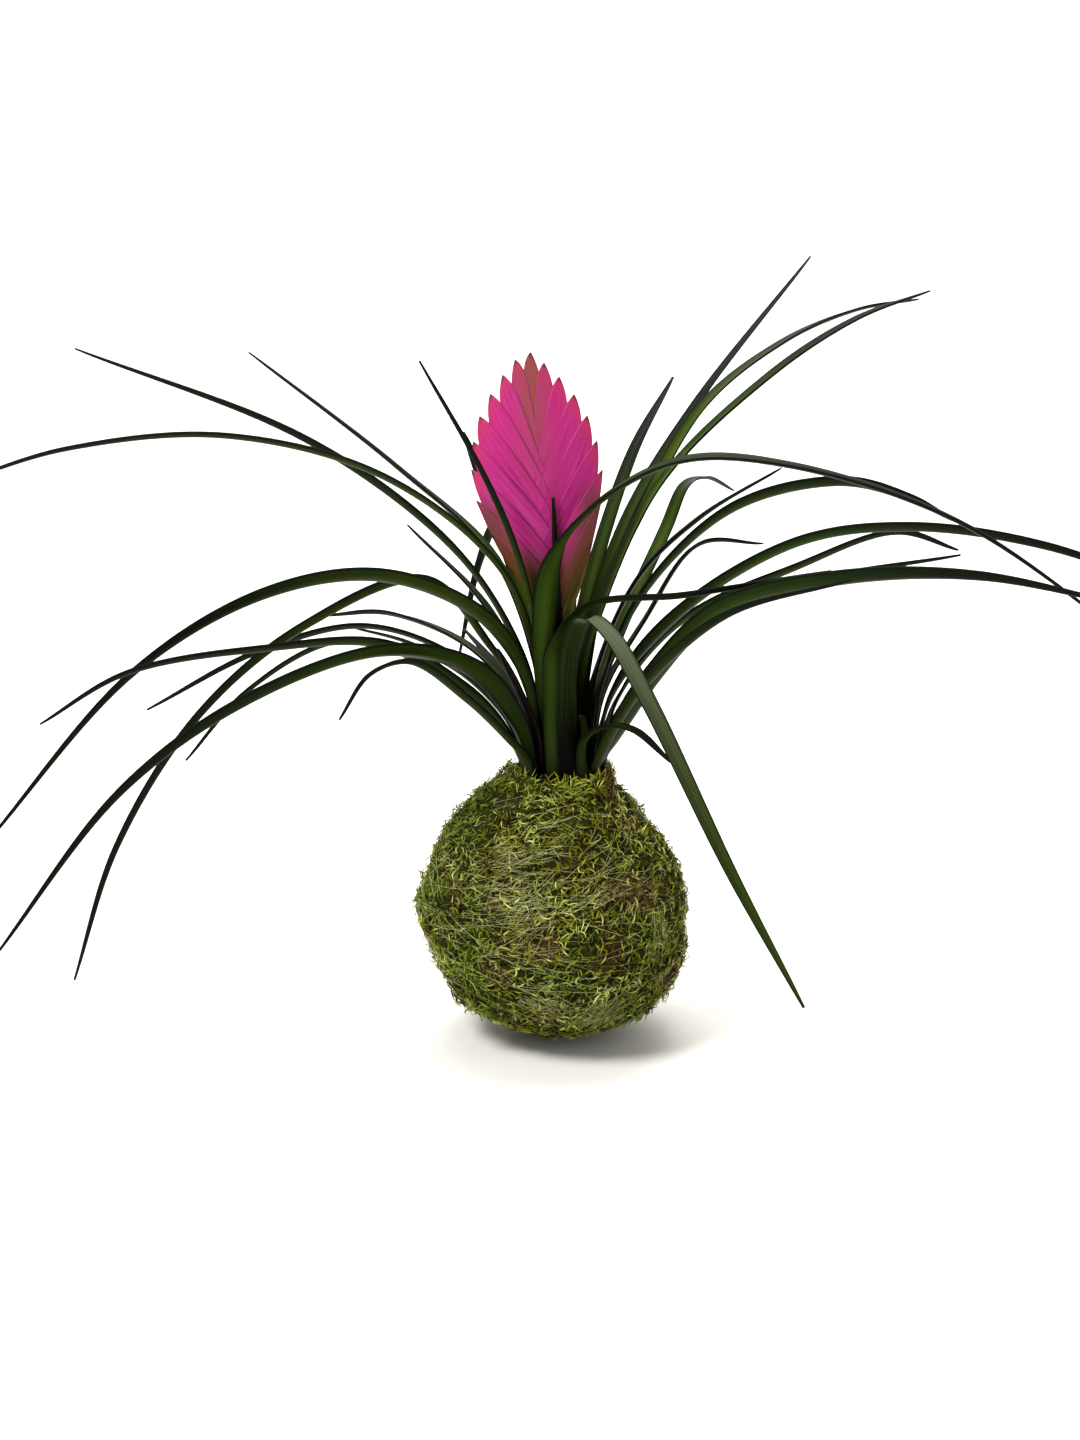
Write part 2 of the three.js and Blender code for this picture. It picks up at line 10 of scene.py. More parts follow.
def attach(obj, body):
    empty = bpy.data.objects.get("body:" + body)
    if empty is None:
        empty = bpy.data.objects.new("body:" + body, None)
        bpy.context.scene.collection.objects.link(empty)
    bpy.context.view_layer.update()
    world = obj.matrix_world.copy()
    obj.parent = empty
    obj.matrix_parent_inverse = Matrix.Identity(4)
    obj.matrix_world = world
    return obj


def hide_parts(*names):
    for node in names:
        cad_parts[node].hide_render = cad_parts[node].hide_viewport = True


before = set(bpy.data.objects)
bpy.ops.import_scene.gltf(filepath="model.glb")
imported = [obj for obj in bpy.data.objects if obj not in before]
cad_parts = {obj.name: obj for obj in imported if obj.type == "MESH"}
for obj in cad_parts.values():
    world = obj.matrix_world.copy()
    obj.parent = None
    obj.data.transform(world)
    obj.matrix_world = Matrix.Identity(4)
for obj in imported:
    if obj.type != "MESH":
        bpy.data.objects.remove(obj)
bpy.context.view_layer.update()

MM = 0.001
scene = bpy.context.scene

# Sizes shared with the part's source
GAP = 0.3
PLANT_X = 2
MOSS_OUTLINE = [
    (9, 0, 0.5), (18, 2.4, 1), (27, 6.5, 1.5), (34.5, 11.5, 1.6), (40.2, 17.5, 1.6),
    (44.6, 25.5, 1.3), (47.5, 34, 0.6), (48.9, 44, -0.4), (47.4, 55, -1.1), (44, 65, -1.5),
    (39.5, 74, -1.9), (32.8, 83, -2.2), (26, 89, -1.9), (21, 93, -0.4), (19.4, 96, 1.4),
    (18.9, 98.5, 2),
]
MOSS_TOP = 98.5
COLLAR_BORE = 17.2
SOIL_TOP = 90
MOSS_LUMP_DEPTH = 0.9
MOSS_LUMP_WAVES = ((3, 0.05), (2, -0.04))
CROWN_RADIUS = 16.6
CROWN_RIM_TOP = 94.5
CROWN_MIDDLE_RADIUS = 4.2
CROWN_MIDDLE_TOP = 102
LEAF_CHANNEL = 0.13
LEAF_SETTLE = (0, 0.22)
LEAF_ROLL = (0.03, 0.3)
LEAF_BASE_END = 0.3
LEAF_TAPER_START = 0.25
LEAF_TAPER_POWER = 2.8
STALK_RADIUS = 3
SPIKE_FOOT = (0.5, 154)
SPIKE_LEAN = 6.6
SPIKE_LEFT = 24
SPIKE_RIGHT = 22
SPIKE_WIDEST = 50
SPIKE_TOP = 96.2
SPIKE_TAPER = 55
SPIKE_TAPER_POWER = 1.5
SPIKE_BLUNTNESS = 2.4
SPIKE_LEAST_TIP = 0.8
FIRST_TIP = 26.5
TIP_SPACING = 6.75
TIP_CROWDING = 0.156
BRACT_TOP_WIDTH = 5
BRACT_TOP_HEIGHTS = (80, 94)
BRACT_LENGTH = 33
BRACT_OVERLAP = 1.2

# Each leaf: seat (angle, radius), heading, width, roll, height below which it is purple-brown,
# and line as (outwards, height) points from the plant's axis, with a third value where the line
# also swings sideways. A last pair gives the shares of the length over which the blade turns
# from its seat to its heading, where these aren't LEAF_SETTLE.
LEAVES = {
    "left_01": ((166, 7.6), 166, 8.5, 32, 146, [(10, 126), (24, 158), (45, 182.5), (94, 214.5), (182, 245)]),
    "left_02": ((184, 4.6), 176, 7, 20, 150, [
        (7, 132, -1), (21, 171), (62, 204, 1), (118, 218), (175, 213), (217, 200),
    ]),
    "left_03": ((156, 6.6), 156, 7, 12, 148, [(10, 136), (26, 174), (64, 204), (125, 243)]),
    "left_04": ((214, 5.9), 210, 5, 0, 138, [(8.5, 130), (11.6, 154), (18, 178), (30.5, 206), (55.5, 248)]),
    "left_05": ((141, 9.6), 141, 6, 18, 142, [(14, 122), (34, 153), (73, 180)]),
    "left_06": ((196, 8.6), 194, 9.5, 36, 104, [
        (12.4, 131), (28.4, 156), (63, 172), (103, 168.5), (150, 143.5), (205, 84),
    ]),
    "left_07": ((177, 9.6), 174, 7, 29, 118, [
        (13, 122), (26, 144), (48, 167), (92, 149.5), (132, 115.5), (165, 64.5), (184, 11),
    ]),
    "left_08": ((213, 11.6), 210, 9.5, 43, 104, [
        (18, 118), (36, 140), (70, 150), (120, 139.5), (166, 114.5), (212, 65),
    ]),
    "left_09": ((199, 12.4), 198, 8.5, 28, 104, [
        (22, 116), (39, 133), (66, 149), (106, 150.5), (154, 145.5), (184, 130),
    ]),
    "left_10": ((171, 11.6), 167, 7, 25, 122, [(18, 120), (40, 139), (72, 148), (112, 137), (158, 112)]),
    "left_11": ((150, 10.6), 149, 7, 18, 126, [(16, 118), (36, 138), (72, 148), (104, 144)]),
    "left_12": ((174, 12.9), 174, 6, 18, 116, [(20, 117), (44, 138), (80, 144), (114, 125), (138, 98)]),
    "left_13": ((137, 12.6), 139, 6, 18, 124, [(18, 111), (42, 125), (74, 134), (107, 136)]),
    "left_14": ((222, 15.2), 210, 6.5, 16, 104, [
        (16.2, 105), (23, 113), (40, 130), (62, 146), (77, 143.5), (89, 129),
    ]),
    "left_15": ((218, 9.6), 216, 7, 0, 140, [(13, 116), (20, 132), (28, 147)]),
    "left_16": ((124, 13.6), 122, 4.5, 11, 128, [(20, 110), (40, 126), (68, 138)]),
    "back_01": ((114, 7.6), 120, 8.5, 0, 150, [(12, 130), (29, 160), (57, 193), (74, 212)]),
    "back_02": ((104, 9.6), 106, 4.5, 0, 142, [
        (16, 122), (42, 153), (76, 176, 3), (90, 158, 7), (102, 120, 12),
    ]),
    "back_03": ((88, 14.6), 86, 7, 0, 138, [(20, 116), (48, 150), (92, 168), (140, 148)]),
    "right_01": ((52, 7.6), 52, 7.5, -14, 132, [(12.5, 127), (20, 153), (40, 185), (81, 221), (161, 273)]),
    "right_02": ((26, 5.2), 26.5, 7.5, -6, 130, [
        (8.5, 132), (15, 154), (39.5, 199.5), (84, 235.5), (121, 254.8), (153.5, 264),
    ]),
    "right_03": ((41, 6.6), 41, 7, -14, 128, [
        (10.6, 130), (18, 156), (36, 184), (68, 223), (110, 244.4), (150, 254.3), (187.5, 256.6),
    ]),
    "right_04": ((70, 9.6), 67, 6.5, 0, 130, [(14.6, 127), (25, 155), (69, 202), (115, 228)]),
    "right_05": ((264, 6.6), -12, 9, 0, 122, [
        (-4, 136, -3), (-4, 154, -4), (0, 178, -4), (13, 196, -4), (43, 213, -4), (79, 213, -4),
        (138, 195.6, -4), (206, 151, -4),
    ], (0.2, 0.5)),
    "right_06": ((33, 9.6), 33, 7, -28, 122, [(15, 132), (33, 165), (61, 185), (98, 200)]),
    "right_07": ((64, 10.6), 62, 5.5, 0, 120, [
        (20, 112), (51, 143), (88, 173), (104, 187), (124, 188), (152, 179),
    ]),
    "right_08": ((20, 10.6), 22, 8.5, -38, 116, [
        (15, 127), (32, 161), (66, 189), (110, 196.5), (140, 188.8), (160, 179),
    ]),
    "right_09": ((32, 12.6), 31, 6, -24, 116, [(18, 124), (36, 150), (58, 175), (88, 173)]),
    "right_10": ((4, 11.9), 6, 9.5, -34, 112, [
        (18, 125), (41, 154), (84, 179.5), (124, 184.5), (175, 176.8), (228, 158),
    ]),
    "right_11": ((18, 13.6), 18, 7, -35, 110, [(22, 124), (46, 150), (90, 167), (130, 178), (156, 170)]),
    "right_12": ((4, 14.6), 2, 8, -32, 108, [(20, 114), (45, 148), (87, 166), (142, 176)]),
    "right_13": ((257, 11.6), -8, 7.5, -25, 104, [
        (-2, 125), (0, 146), (11, 161), (45, 166), (95, 176),
    ], (0.15, 0.6)),
    "right_14": ((-23, 12.6), -20, 9.5, -43, 104, [
        (19, 110), (33, 134), (59, 162), (100, 175), (147, 179), (200, 172),
    ]),
    "right_15": ((280, 14.2), -48, 9.5, 0, 127, [
        (12, 125), (14, 146), (21, 158.5), (32, 155), (52, 134), (92, 83), (126, 45),
    ]),
    "right_16": ((300, 15.6), -42, 6, 0, 104, [(15, 112), (24, 119.5), (38, 120.5), (55, 112)]),
    "right_17": ((-42, 14.4), -37, 5.5, -25, 104, [(19.2, 109), (34, 132.5), (69, 163.5), (118, 182)]),
    "right_18": ((-51, 11.8), -52, 3, 0, 104, [(12.6, 108), (13.2, 116), (11.4, 120.5), (9.2, 118.5)]),
    "front_01": ((306, 4.6), 265, 3, 0, 168, [(4.5, 135, -2), (5.6, 165, -4), (6.4, 198.5, -5.4)]),
}

FOLDED_LEAF = "right_15"


def rgb(red, green, blue):
    """A colour as seen on a screen, 0 to 255, as linear values with alpha."""
    def linear(value):
        value /= 255
        return value / 12.92 if value <= 0.04045 else ((value + 0.055) / 1.055) ** 2.4
    return (linear(red), linear(green), linear(blue), 1)


def smoothstep(value, low, high):
    share = np.clip((value - low) / (high - low), 0, 1)
    return share * share * (3 - 2 * share)


# Materials
class Look:
    """A material made of nodes. Inputs may be sockets or plain values."""

    def __init__(self, name, roughness, specular, **numbers):
        self.material = bpy.data.materials.new(name)
        self.material.use_nodes = True
        self.tree = self.material.node_tree
        self.shader = self.tree.nodes["Principled BSDF"]
        self.put(self.shader, "Roughness", roughness)
        self.put(self.shader, "Specular IOR Level", specular)
        for key, value in numbers.items():
            self.put(self.shader, key.replace("_", " "), value)

    def put(self, node, key, value):
        socket = node.inputs[key]
        if isinstance(value, bpy.types.NodeSocket):
            self.tree.links.new(value, socket)
        else:
            socket.default_value = value

    def make(self, kind, inputs, out=0, **settings):
        node = self.tree.nodes.new("ShaderNode" + kind)
        for key, value in settings.items():
            setattr(node, key, value)
        for key, value in inputs.items():
            self.put(node, key, value)
        return node.outputs[out]

    def math(self, operation, *values):
        return self.make("Math", dict(enumerate(values)), operation=operation)

    def times(self, value, gain, plus=0.0):
        return self.math("MULTIPLY_ADD", value, gain, plus)

    def mix(self, share, low, high):
        return self.make("Mix", {0: share, 6: low, 7: high}, out=2, data_type="RGBA")

    def band(self, value, low, high):
        """From 0 to 1 as the value goes from low to high, smoothly."""
        inputs = {"Value": value, "From Min": low, "From Max": high}
        return self.make("MapRange", inputs, interpolation_type="SMOOTHSTEP")

    def attribute(self, name):
        return self.make("Attribute", {}, out="Fac", attribute_name=name)

    def place(self, scale=(1, 1, 1)):
        """Where a point is on the object, in millimetres times the scale."""
        point = self.make("TexCoord", {}, out="Object")
        sizes = tuple(axis / MM for axis in scale)
        return self.make("VectorMath", {0: point, 1: sizes}, operation="MULTIPLY")

    def noise(self, vector, scale, detail=2.0, roughness=0.5):
        inputs = {"Vector": vector, "Scale": scale, "Detail": detail, "Roughness": roughness}
        return self.make("TexNoise", inputs, out="Fac")

    def height(self):
        """Height on the object in millimetres."""
        return self.make("SeparateXYZ", {"Vector": self.place()}, out="Z")

    def scaled(self, colour, gain):
        return self.make("VectorMath", {0: colour, "Scale": gain}, operation="SCALE")

    def fade(self, value, limits, low, high):
        """From one colour to another as the value goes through the limits."""
        return self.mix(self.band(value, *limits), low, high)

    def streaked(self, lines, low, high):
        return self.fade(lines, (0.3, 0.7), low, high)

    def tinged(self, share, strength, colour, other):
        """A colour, partly turned into another."""
        return self.mix(self.times(share, strength), colour, other)

    def lines(self, across, counts, place):
        """Noise drawn out along a piece; the counts are how fine it is across and along it."""
        x = self.times(self.attribute(across), counts[0])
        y = self.times(self.attribute("along"), counts[1])
        return self.noise(self.make("CombineXYZ", {"X": x, "Y": y, "Z": place}), 1.0, 3.0)

    def dark_base(self, lines):
        """How dark a blade is near its seat, with a ragged end."""
        level = self.times(lines, 12.0, self.attribute("above"))
        return self.band(level, 16.0, -10.0)

    def colour(self, value):
        self.put(self.shader, "Base Color", value)

    def bump(self, height, distance, strength):
        inputs = {"Height": height, "Distance": distance * MM, "Strength": strength}
        self.put(self.shader, "Normal", self.make("Bump", inputs))


LEAF_LINES = (9.0, 3.0)
# Painted light and shade on the leaves: darker low in the crown, lighter higher up
LEAF_LIT_HEIGHTS = (120.0, 185.0)  # over which the leaves get lighter, away from the crown


def leaf_look():
    """Streaked dark greens, mixed anew for each blade, with darker margins, tips and feet, and painted light
    and shade.
    """
    look = Look("leaf_green", 0.42, 0.035)
    along = look.attribute("along")
    away = look.math("ABSOLUTE", look.attribute("across"))
    seed = look.attribute("seed")
    lines = look.lines("across", LEAF_LINES, seed)
    blotch = look.noise(look.place(), 0.035)
    green = look.streaked(lines, rgb(16, 25, 0), rgb(42, 58, 6))
    green = look.fade(blotch, (0.35, 0.7), green, rgb(46, 58, 2))
    green = look.mix(look.math("FRACT", look.times(seed, 7.0)), green, rgb(28, 50, 4))
    # painted highlight along the middle of each blade
    green = look.tinged(look.band(away, 0.7, 0.1), 0.5, green, rgb(60, 80, 12))
    edge = look.fade(away, (0.72, 0.98), green, rgb(10, 16, 5))
    # painted shade low in the crown and painted light higher up, by height
    painted_light_by_height = look.times(look.band(look.height(), *LEAF_LIT_HEIGHTS), 0.6, 0.7)
    # painted shade over the outer, overarching part of each blade
    outer = look.fade(along, (0.4, 0.85), look.scaled(edge, painted_light_by_height), rgb(12, 17, 11))
    tip = look.fade(along, (0.92, 1.0), outer, rgb(18, 15, 12))
    under = look.tinged(look.attribute("outer"), 0.3, tip, rgb(14, 22, 8))
    look.colour(look.mix(look.dark_base(lines), under, rgb(13, 6, 7)))
    look.bump(lines, 0.1, 0.7)
    return look.material


def pale_leaf_look():
    """The leaf that bends over in front: dark below its fold, then a painted highlight in pale grey over the
    fold and past it, fading to green.
    """
    look = Look("leaf_fold", 0.5, 0.03)
    along = look.attribute("along")
    away = look.math("ABSOLUTE", look.attribute("across"))
    lines = look.lines("across", LEAF_LINES, 4.0)
    upright = look.streaked(lines, rgb(15, 25, 2), rgb(36, 50, 8))
    green = look.streaked(lines, rgb(26, 36, 8), rgb(50, 62, 20))
    fold_highlight_grey = look.streaked(lines, rgb(76, 83, 60), rgb(98, 103, 82))
    # painted highlight: pale grey where the blade bends over, fading further on
    fold = look.times(look.band(along, 0.39, 0.44), look.band(along, 0.88, 0.5))
    hanging = look.fade(along, (0.36, 0.42), upright, green)
    body = look.mix(fold, hanging, fold_highlight_grey)
    body = look.fade(away, (0.8, 1.0), body, rgb(18, 26, 14))
    look.colour(look.mix(look.dark_base(lines), body, rgb(5, 4, 3)))
    look.bump(lines, 0.1, 0.7)
    return look.material


def fresh_pink(look, rank, veins, blotch):
    """Veined pink, deeper on the flower's right, with a painted shadow line along each bract's free margin.
    """
    left = look.math("MODULO", rank, 2.0)
    pink = look.streaked(veins, rgb(158, 18, 102), rgb(190, 50, 134))
    pink = look.fade(blotch, (0.35, 0.7), pink, rgb(176, 32, 110))
    pink = look.mix(look.times(left, -0.25, 0.25), pink, rgb(156, 12, 92))
    # painted shadow along each bract's margin, stronger on the flower's left and fading towards the tip
    inner = look.band(look.attribute("along"), 0.72, 0.3)
    strength = look.times(inner, look.times(left, 0.3, 0.45))
    line = look.times(look.band(look.attribute("share"), 0.86, 1.0), strength)
    return look.mix(line, pink, rgb(104, 10, 66))


def dusky_ends(look, colour, rank, level, near):
    """The colour, dulled towards the flower's top and middle and at the tips of its bracts."""
    along = look.attribute("along")
    rose = look.fade(along, (0.66, 0.98), colour, rgb(176, 42, 90))
    dusk = look.tinged(look.band(rank, 12.6, 14.9), 0.8, rose, rgb(150, 52, 76))
    middle = look.times(look.band(near, 0.5, 0.0), look.band(level, 40.0, 76.0))
    faded = look.tinged(middle, 0.65, dusk, rgb(146, 60, 80))
    top = look.fade(rank, (15.3, 15.9), faded, rgb(138, 64, 64))
    return look.fade(along, (0.91, 1.0), top, rgb(66, 36, 48))


def brown_foot(look, colour, level, near, veins, blotch):
    """The colour with dark rims, brown on the flower's lower outside and olive at its foot."""
    edge = look.band(look.attribute("share"), 0.07, 0.0)
    rim = look.tinged(edge, 0.6, colour, rgb(110, 26, 62))
    ragged = look.times(veins, 10.0, level)
    outside = look.times(look.band(ragged, 56.0, 43.0), look.band(near, 0.5, 0.8))
    brown = look.mix(edge, rgb(98, 48, 42), rgb(42, 18, 20))
    aged = look.tinged(outside, 0.9, rim, brown)
    low = look.times(blotch, 10.0, level)
    low = look.times(near, -12.0, low)
    blush = look.fade(low, (32.0, 16.0), aged, rgb(108, 52, 36))
    olive = look.fade(near, (0.3, 0.8), rgb(76, 36, 22), rgb(104, 80, 24))
    return look.fade(low, (20.0, 6.0), blush, olive)


def bract_look():
    look = Look("bract_pink", 0.5, 0.2, Subsurface_Weight=0.08, Subsurface_Scale=0.004)
    rank, level, near = look.attribute("rank"), look.attribute("level"), look.attribute("near")
    veins = look.lines("share", (9.0, 1.6), rank)
    blotch = look.noise(look.place(), 0.07)
    pink = fresh_pink(look, rank, veins, blotch)
    pink = dusky_ends(look, pink, rank, level, near)
    look.colour(brown_foot(look, pink, level, near, veins, blotch))
    look.bump(veins, 0.15, 0.5)
    return look.material


def stalk_look():
    """Olive bracts below the pink ones, browner upwards, with dark margins and tips."""
    look = Look("bract_green", 0.5, 0.15)
    level = look.attribute("level")
    veins = look.lines("share", (12.0, 2.0), level)
    low = look.times(veins, 12.0, level)
    olive = look.fade(low, (-8.0, 8.0), rgb(24, 30, 6), rgb(76, 68, 12))
    brown = look.fade(low, (4.0, 26.0), olive, rgb(86, 62, 14))
    blush = look.fade(low, (18.0, 36.0), brown, rgb(96, 48, 34))
    edge = look.fade(look.attribute("share"), (0.14, 0.0), blush, rgb(48, 30, 20))
    look.colour(look.fade(look.attribute("along"), (0.9, 1.0), edge, rgb(38, 26, 22)))
    look.bump(veins, 0.25, 0.6)
    return look.material


def moss_look(name, dark, olive, green, bright, lushest):
    """Moss with painted shade at a sprig's foot and lighter towards its tip, with patches of brown."""
    look = Look(name, 0.85, 0.15)
    tint = look.attribute("tint")
    grain = look.noise(look.place(), 1.3)
    body = look.fade(tint, (0.05, 0.5), olive, green)
    body = look.fade(tint, (0.5, 0.95), body, bright)
    lush = look.band(look.noise(look.place(), 0.045), 0.42, 0.66)
    body = look.tinged(lush, 0.5, body, lushest)
    dry = look.fade(tint, (0.2, 0.9), rgb(92, 66, 28), rgb(188, 160, 98))
    dry = look.fade(grain, (0.58, 0.75), dry, rgb(140, 72, 40))
    body = look.mix(look.attribute("brown"), body, dry)
    body = look.tinged(look.band(grain, 0.4, 0.7), 0.3, body, dark)
    # painted shade: the dark colour at each sprig's foot, fading out towards its tip
    look.colour(look.fade(look.attribute("along"), (0.7, 0.0), body, dark))
    look.bump(grain, 0.3, 0.5)
    return look.material


def thread_look():
    look = Look("thread_pale", 0.45, 0.4)
    twist = look.noise(look.place(), 2.2)
    tint = look.attribute("tint")
    body = look.streaked(twist, rgb(174, 182, 108), rgb(224, 228, 170))
    look.colour(look.fade(tint, (0.3, 0.9), body, rgb(178, 172, 104)))
    look.bump(twist, 0.1, 0.5)
    return look.material


def earth_look(name, dark, light, bright):
    """Crumbly soil or bark with bright fibres."""
    look = Look(name, 0.95, 0.1)
    crumbs = look.noise(look.place(), 0.6, 5.0, 0.65)
    fibres = look.noise(look.place((1, 1, 0.15)), 1.6, 3.0)
    body = look.fade(crumbs, (0.35, 0.65), dark, light)
    look.colour(look.tinged(look.band(fibres, 0.55, 0.75), 0.5, body, bright))
    look.bump(crumbs, 1.2, 0.9)
    return look.material


def floor_look():
    look = Look("floor_pale", 0.6, 0.3)
    cloud = look.noise(look.place(), 0.004, 3.0)
    look.colour(look.mix(cloud, rgb(232, 229, 223), rgb(240, 238, 233)))
    return look.material


# Meshes
def unit(vectors):
    """Each row as a direction of length 1."""
    return vectors / np.linalg.norm(vectors, axis=1)[:, None]


def mesh_object(name, points, faces, values=None):
    """A new object from points in millimetres, faces, and one list of numbers per named value."""
    mesh = bpy.data.meshes.new(name)
    mesh.from_pydata((np.asarray(points) * MM).tolist(), [], faces)
    for key, numbers in (values or {}).items():
        layer = mesh.attributes.new(key, "FLOAT", "POINT")
        layer.data.foreach_set("value", np.asarray(numbers, dtype=np.float32))
    mesh.polygons.foreach_set("use_smooth", [True] * len(mesh.polygons))
    mesh.update()
    item = bpy.data.objects.new(name, mesh)
    scene.collection.objects.link(item)
    return item


def show(item, material, slot, *nodes):
    """Gives a piece its material, hangs it on the root body and hides the source parts it stands for."""
    item.data.materials.append(material)
    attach(item, "root")
    if nodes:
        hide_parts(*nodes)


def ring_faces(rings, count, start=0):
    """Quads between closed rings of equally many points."""
    faces = []
    for ring in range(rings - 1):
        for k in range(count):
            a = start + ring * count + k
            b = start + ring * count + (k + 1) % count
            faces.append((a, b, b + count, a + count))
    return faces


def closed_faces(rings, count, start=0):
    """The same, with both ends closed."""
    last = start + (rings - 1) * count
    foot = tuple(reversed(range(start, start + count)))
    return ring_faces(rings, count, start) + [foot, tuple(range(last, last + count))]


def circle(count):
    """Points of a level circle with radius 1."""
    angles = np.linspace(0, 2 * math.pi, count, endpoint=False)
    return np.column_stack([np.cos(angles), np.sin(angles), np.zeros(count)])


# Leaves
def spline_point(points, share):
    """A point on the smooth line through the points, spaced as in the part's source."""
    spans = len(points) - 1
    place = spans * share
    index = min(int(place), spans - 1)
    along = place - index
    before = points[index - 1] if index > 0 else 2 * points[0] - points[1]
    after = points[index + 2] if index + 2 <= spans else 2 * points[-1] - points[-2]
    a, b, c, d = before, points[index], points[index + 1], after
    gaps = [max(1e-4, np.linalg.norm(q - p) ** 0.5) for p, q in ((a, b), (b, c), (c, d))]
    start = ((b - a) / gaps[0] - (c - a) / (gaps[0] + gaps[1]) + (c - b) / gaps[1]) * gaps[1]
    end = ((c - b) / gaps[1] - (d - b) / (gaps[1] + gaps[2]) + (d - c) / gaps[2]) * gaps[1]
    cube = 2 * b - 2 * c + start + end
    square = 3 * c - 3 * b - 2 * start - end
    return b + start * along + square * along ** 2 + cube * along ** 3


def crown_height(radius):
    share = max(0, (radius - CROWN_MIDDLE_RADIUS) / (CROWN_RADIUS - CROWN_MIDDLE_RADIUS))
    return CROWN_MIDDLE_TOP + (CROWN_RIM_TOP - CROWN_MIDDLE_TOP) * share


def across_of(angle):
    return np.array([-math.sin(angle), math.cos(angle), 0.0])


def leaf_line(seat, radius, turn, line):
    heading = np.array([math.cos(turn), math.sin(turn), 0.0])
    aside = radius * math.sin(seat - turn)
    foot = (radius * math.cos(seat - turn), crown_height(radius) + GAP)
    points = []
    for out, height, *side in [foot, *line]:
        shift = aside + (side[0] if side else 0)
        points.append(np.array([PLANT_X, 0, height]) + heading * out + across_of(turn) * shift)
    return points


BLADE_STEPS_PER_SPAN = 14
BLADE_COLUMNS = 7
BLADE_TIP_WIDTH = 1.0
BLADE_BASE_SHARE = 0.68  # width at the seat, as a share of the full width
BLADE_THICKNESS = 0.72
BLADE_EDGE_SHARE = 0.8  # thickness at the margins, as a share of the middle's
BLADE_THIN_WIDTH = 1.6  # where a blade is narrower than this, it gets thinner as well
BLADE_CHANNEL_POWER = 1.6  # how flat the channel is along its middle
BLADE_FOLD = 0.08  # how much deeper the channel is towards the tip, as a share of the width
BLADE_FOLD_SHARES = (0.3, 0.8)
BLADE_TWIST = 5  # degrees that a blade turns to and fro on its way
BLADE_TWIST_PACE = 9
BLADE_PHASES = (0, 6.3)
BLADE_SEEDS = (0, 40)
TANGENT_STEP = 1e-3


def blade_width(share, width):
    base = BLADE_BASE_SHARE + (1 - BLADE_BASE_SHARE) * min(1, share / LEAF_BASE_END)
    taper = 1 - (max(0, share - LEAF_TAPER_START) / (1 - LEAF_TAPER_START)) ** LEAF_TAPER_POWER
    return BLADE_TIP_WIDTH + (width - BLADE_TIP_WIDTH) * min(base, taper)


def turned(vector, axis, angle):
    return np.array(Matrix.Rotation(angle, 3, Vector(axis)) @ Vector(vector))


def blade_tangent(knots, share):
    """Direction of a leaf's line, which leaves the crown straight up."""
    if share == 0:
        return np.array([0.0, 0.0, 1.0])
    before, after = max(0, share - TANGENT_STEP), min(1, share + TANGENT_STEP)
    ahead = spline_point(knots, after) - spline_point(knots, before)
    return ahead / np.linalg.norm(ahead)


def blade_level(tangent, seat, turn, settled, rolled):
    """Direction across a blade: round the crown at its seat, then across its heading."""
    level = across_of(seat) * (1 - settled) + across_of(turn) * settled
    level = level - tangent * level.dot(tangent)
    level /= np.linalg.norm(level)
    return turned(level, tangent, rolled)


def blade_section(wide, depth):
    """Points round a blade, outer face first, as distances across it and inwards."""
    sides = np.linspace(-1, 1, BLADE_COLUMNS)
    section = []
    for face, order in ((-1, sides), (1, sides[::-1])):
        for side in order:
            thick = BLADE_THICKNESS / 2 * (1 - (1 - BLADE_EDGE_SHARE) * side * side)
            thick *= min(1, wide / BLADE_THIN_WIDTH)
            lift = depth * (abs(side) ** BLADE_CHANNEL_POWER - 0.5) + face * thick
            section.append((side * wide / 2, lift))
    return section


def blade_values(shares, heights, dark, seed):
    """What a blade's material needs to know at each point."""
    count = 2 * BLADE_COLUMNS
    sides = np.linspace(-1, 1, BLADE_COLUMNS)
    return {
        "along": np.repeat(shares, count),
        "across": np.tile(np.concatenate([sides, sides[::-1]]), len(shares)),
        "outer": np.tile(np.repeat([1.0, 0.0], BLADE_COLUMNS), len(shares)),
        "seed": np.full(len(shares) * count, seed),
        "above": np.repeat(np.maximum.accumulate(heights) - dark, count),
    }


def blade(name, leaf, rng):
    """A finely divided channelled blade along a leaf's line."""
    (seat_degrees, radius), turn_degrees, width, roll, dark, line = leaf[:6]
    settle = leaf[6] if len(leaf) > 6 else LEAF_SETTLE
    seat, turn = math.radians(seat_degrees), math.radians(turn_degrees)
    knots = leaf_line(seat, radius, turn, line)
    steps = len(line) * BLADE_STEPS_PER_SPAN
    shares = [step / steps for step in range(steps + 1)]
    phase, seed = rng.uniform(*BLADE_PHASES), rng.uniform(*BLADE_SEEDS)
    points, heights = [], []
    for share in shares:
        centre = spline_point(knots, share)
        tangent = blade_tangent(knots, share)
        settled = float(smoothstep(share, *settle))
        rolled = math.radians(roll) * float(smoothstep(share, *LEAF_ROLL))
        rolled += math.radians(BLADE_TWIST) * settled * math.sin(BLADE_TWIST_PACE * share + phase)
        level = blade_level(tangent, seat, turn, settled, rolled)
        inward = np.cross(tangent, level)
        wide = blade_width(share, width)
        channel = LEAF_CHANNEL + BLADE_FOLD * float(smoothstep(share, *BLADE_FOLD_SHARES))
        depth = wide * wide / (8 * radius) * (1 - settled) + channel * wide * settled
        for aside, lift in blade_section(wide, depth):
            points.append(centre + level * aside + inward * lift)
        heights.append(centre[2])
    faces = closed_faces(steps + 1, 2 * BLADE_COLUMNS)
    return mesh_object("blade_" + name, points, faces, blade_values(shares, heights, dark, seed))


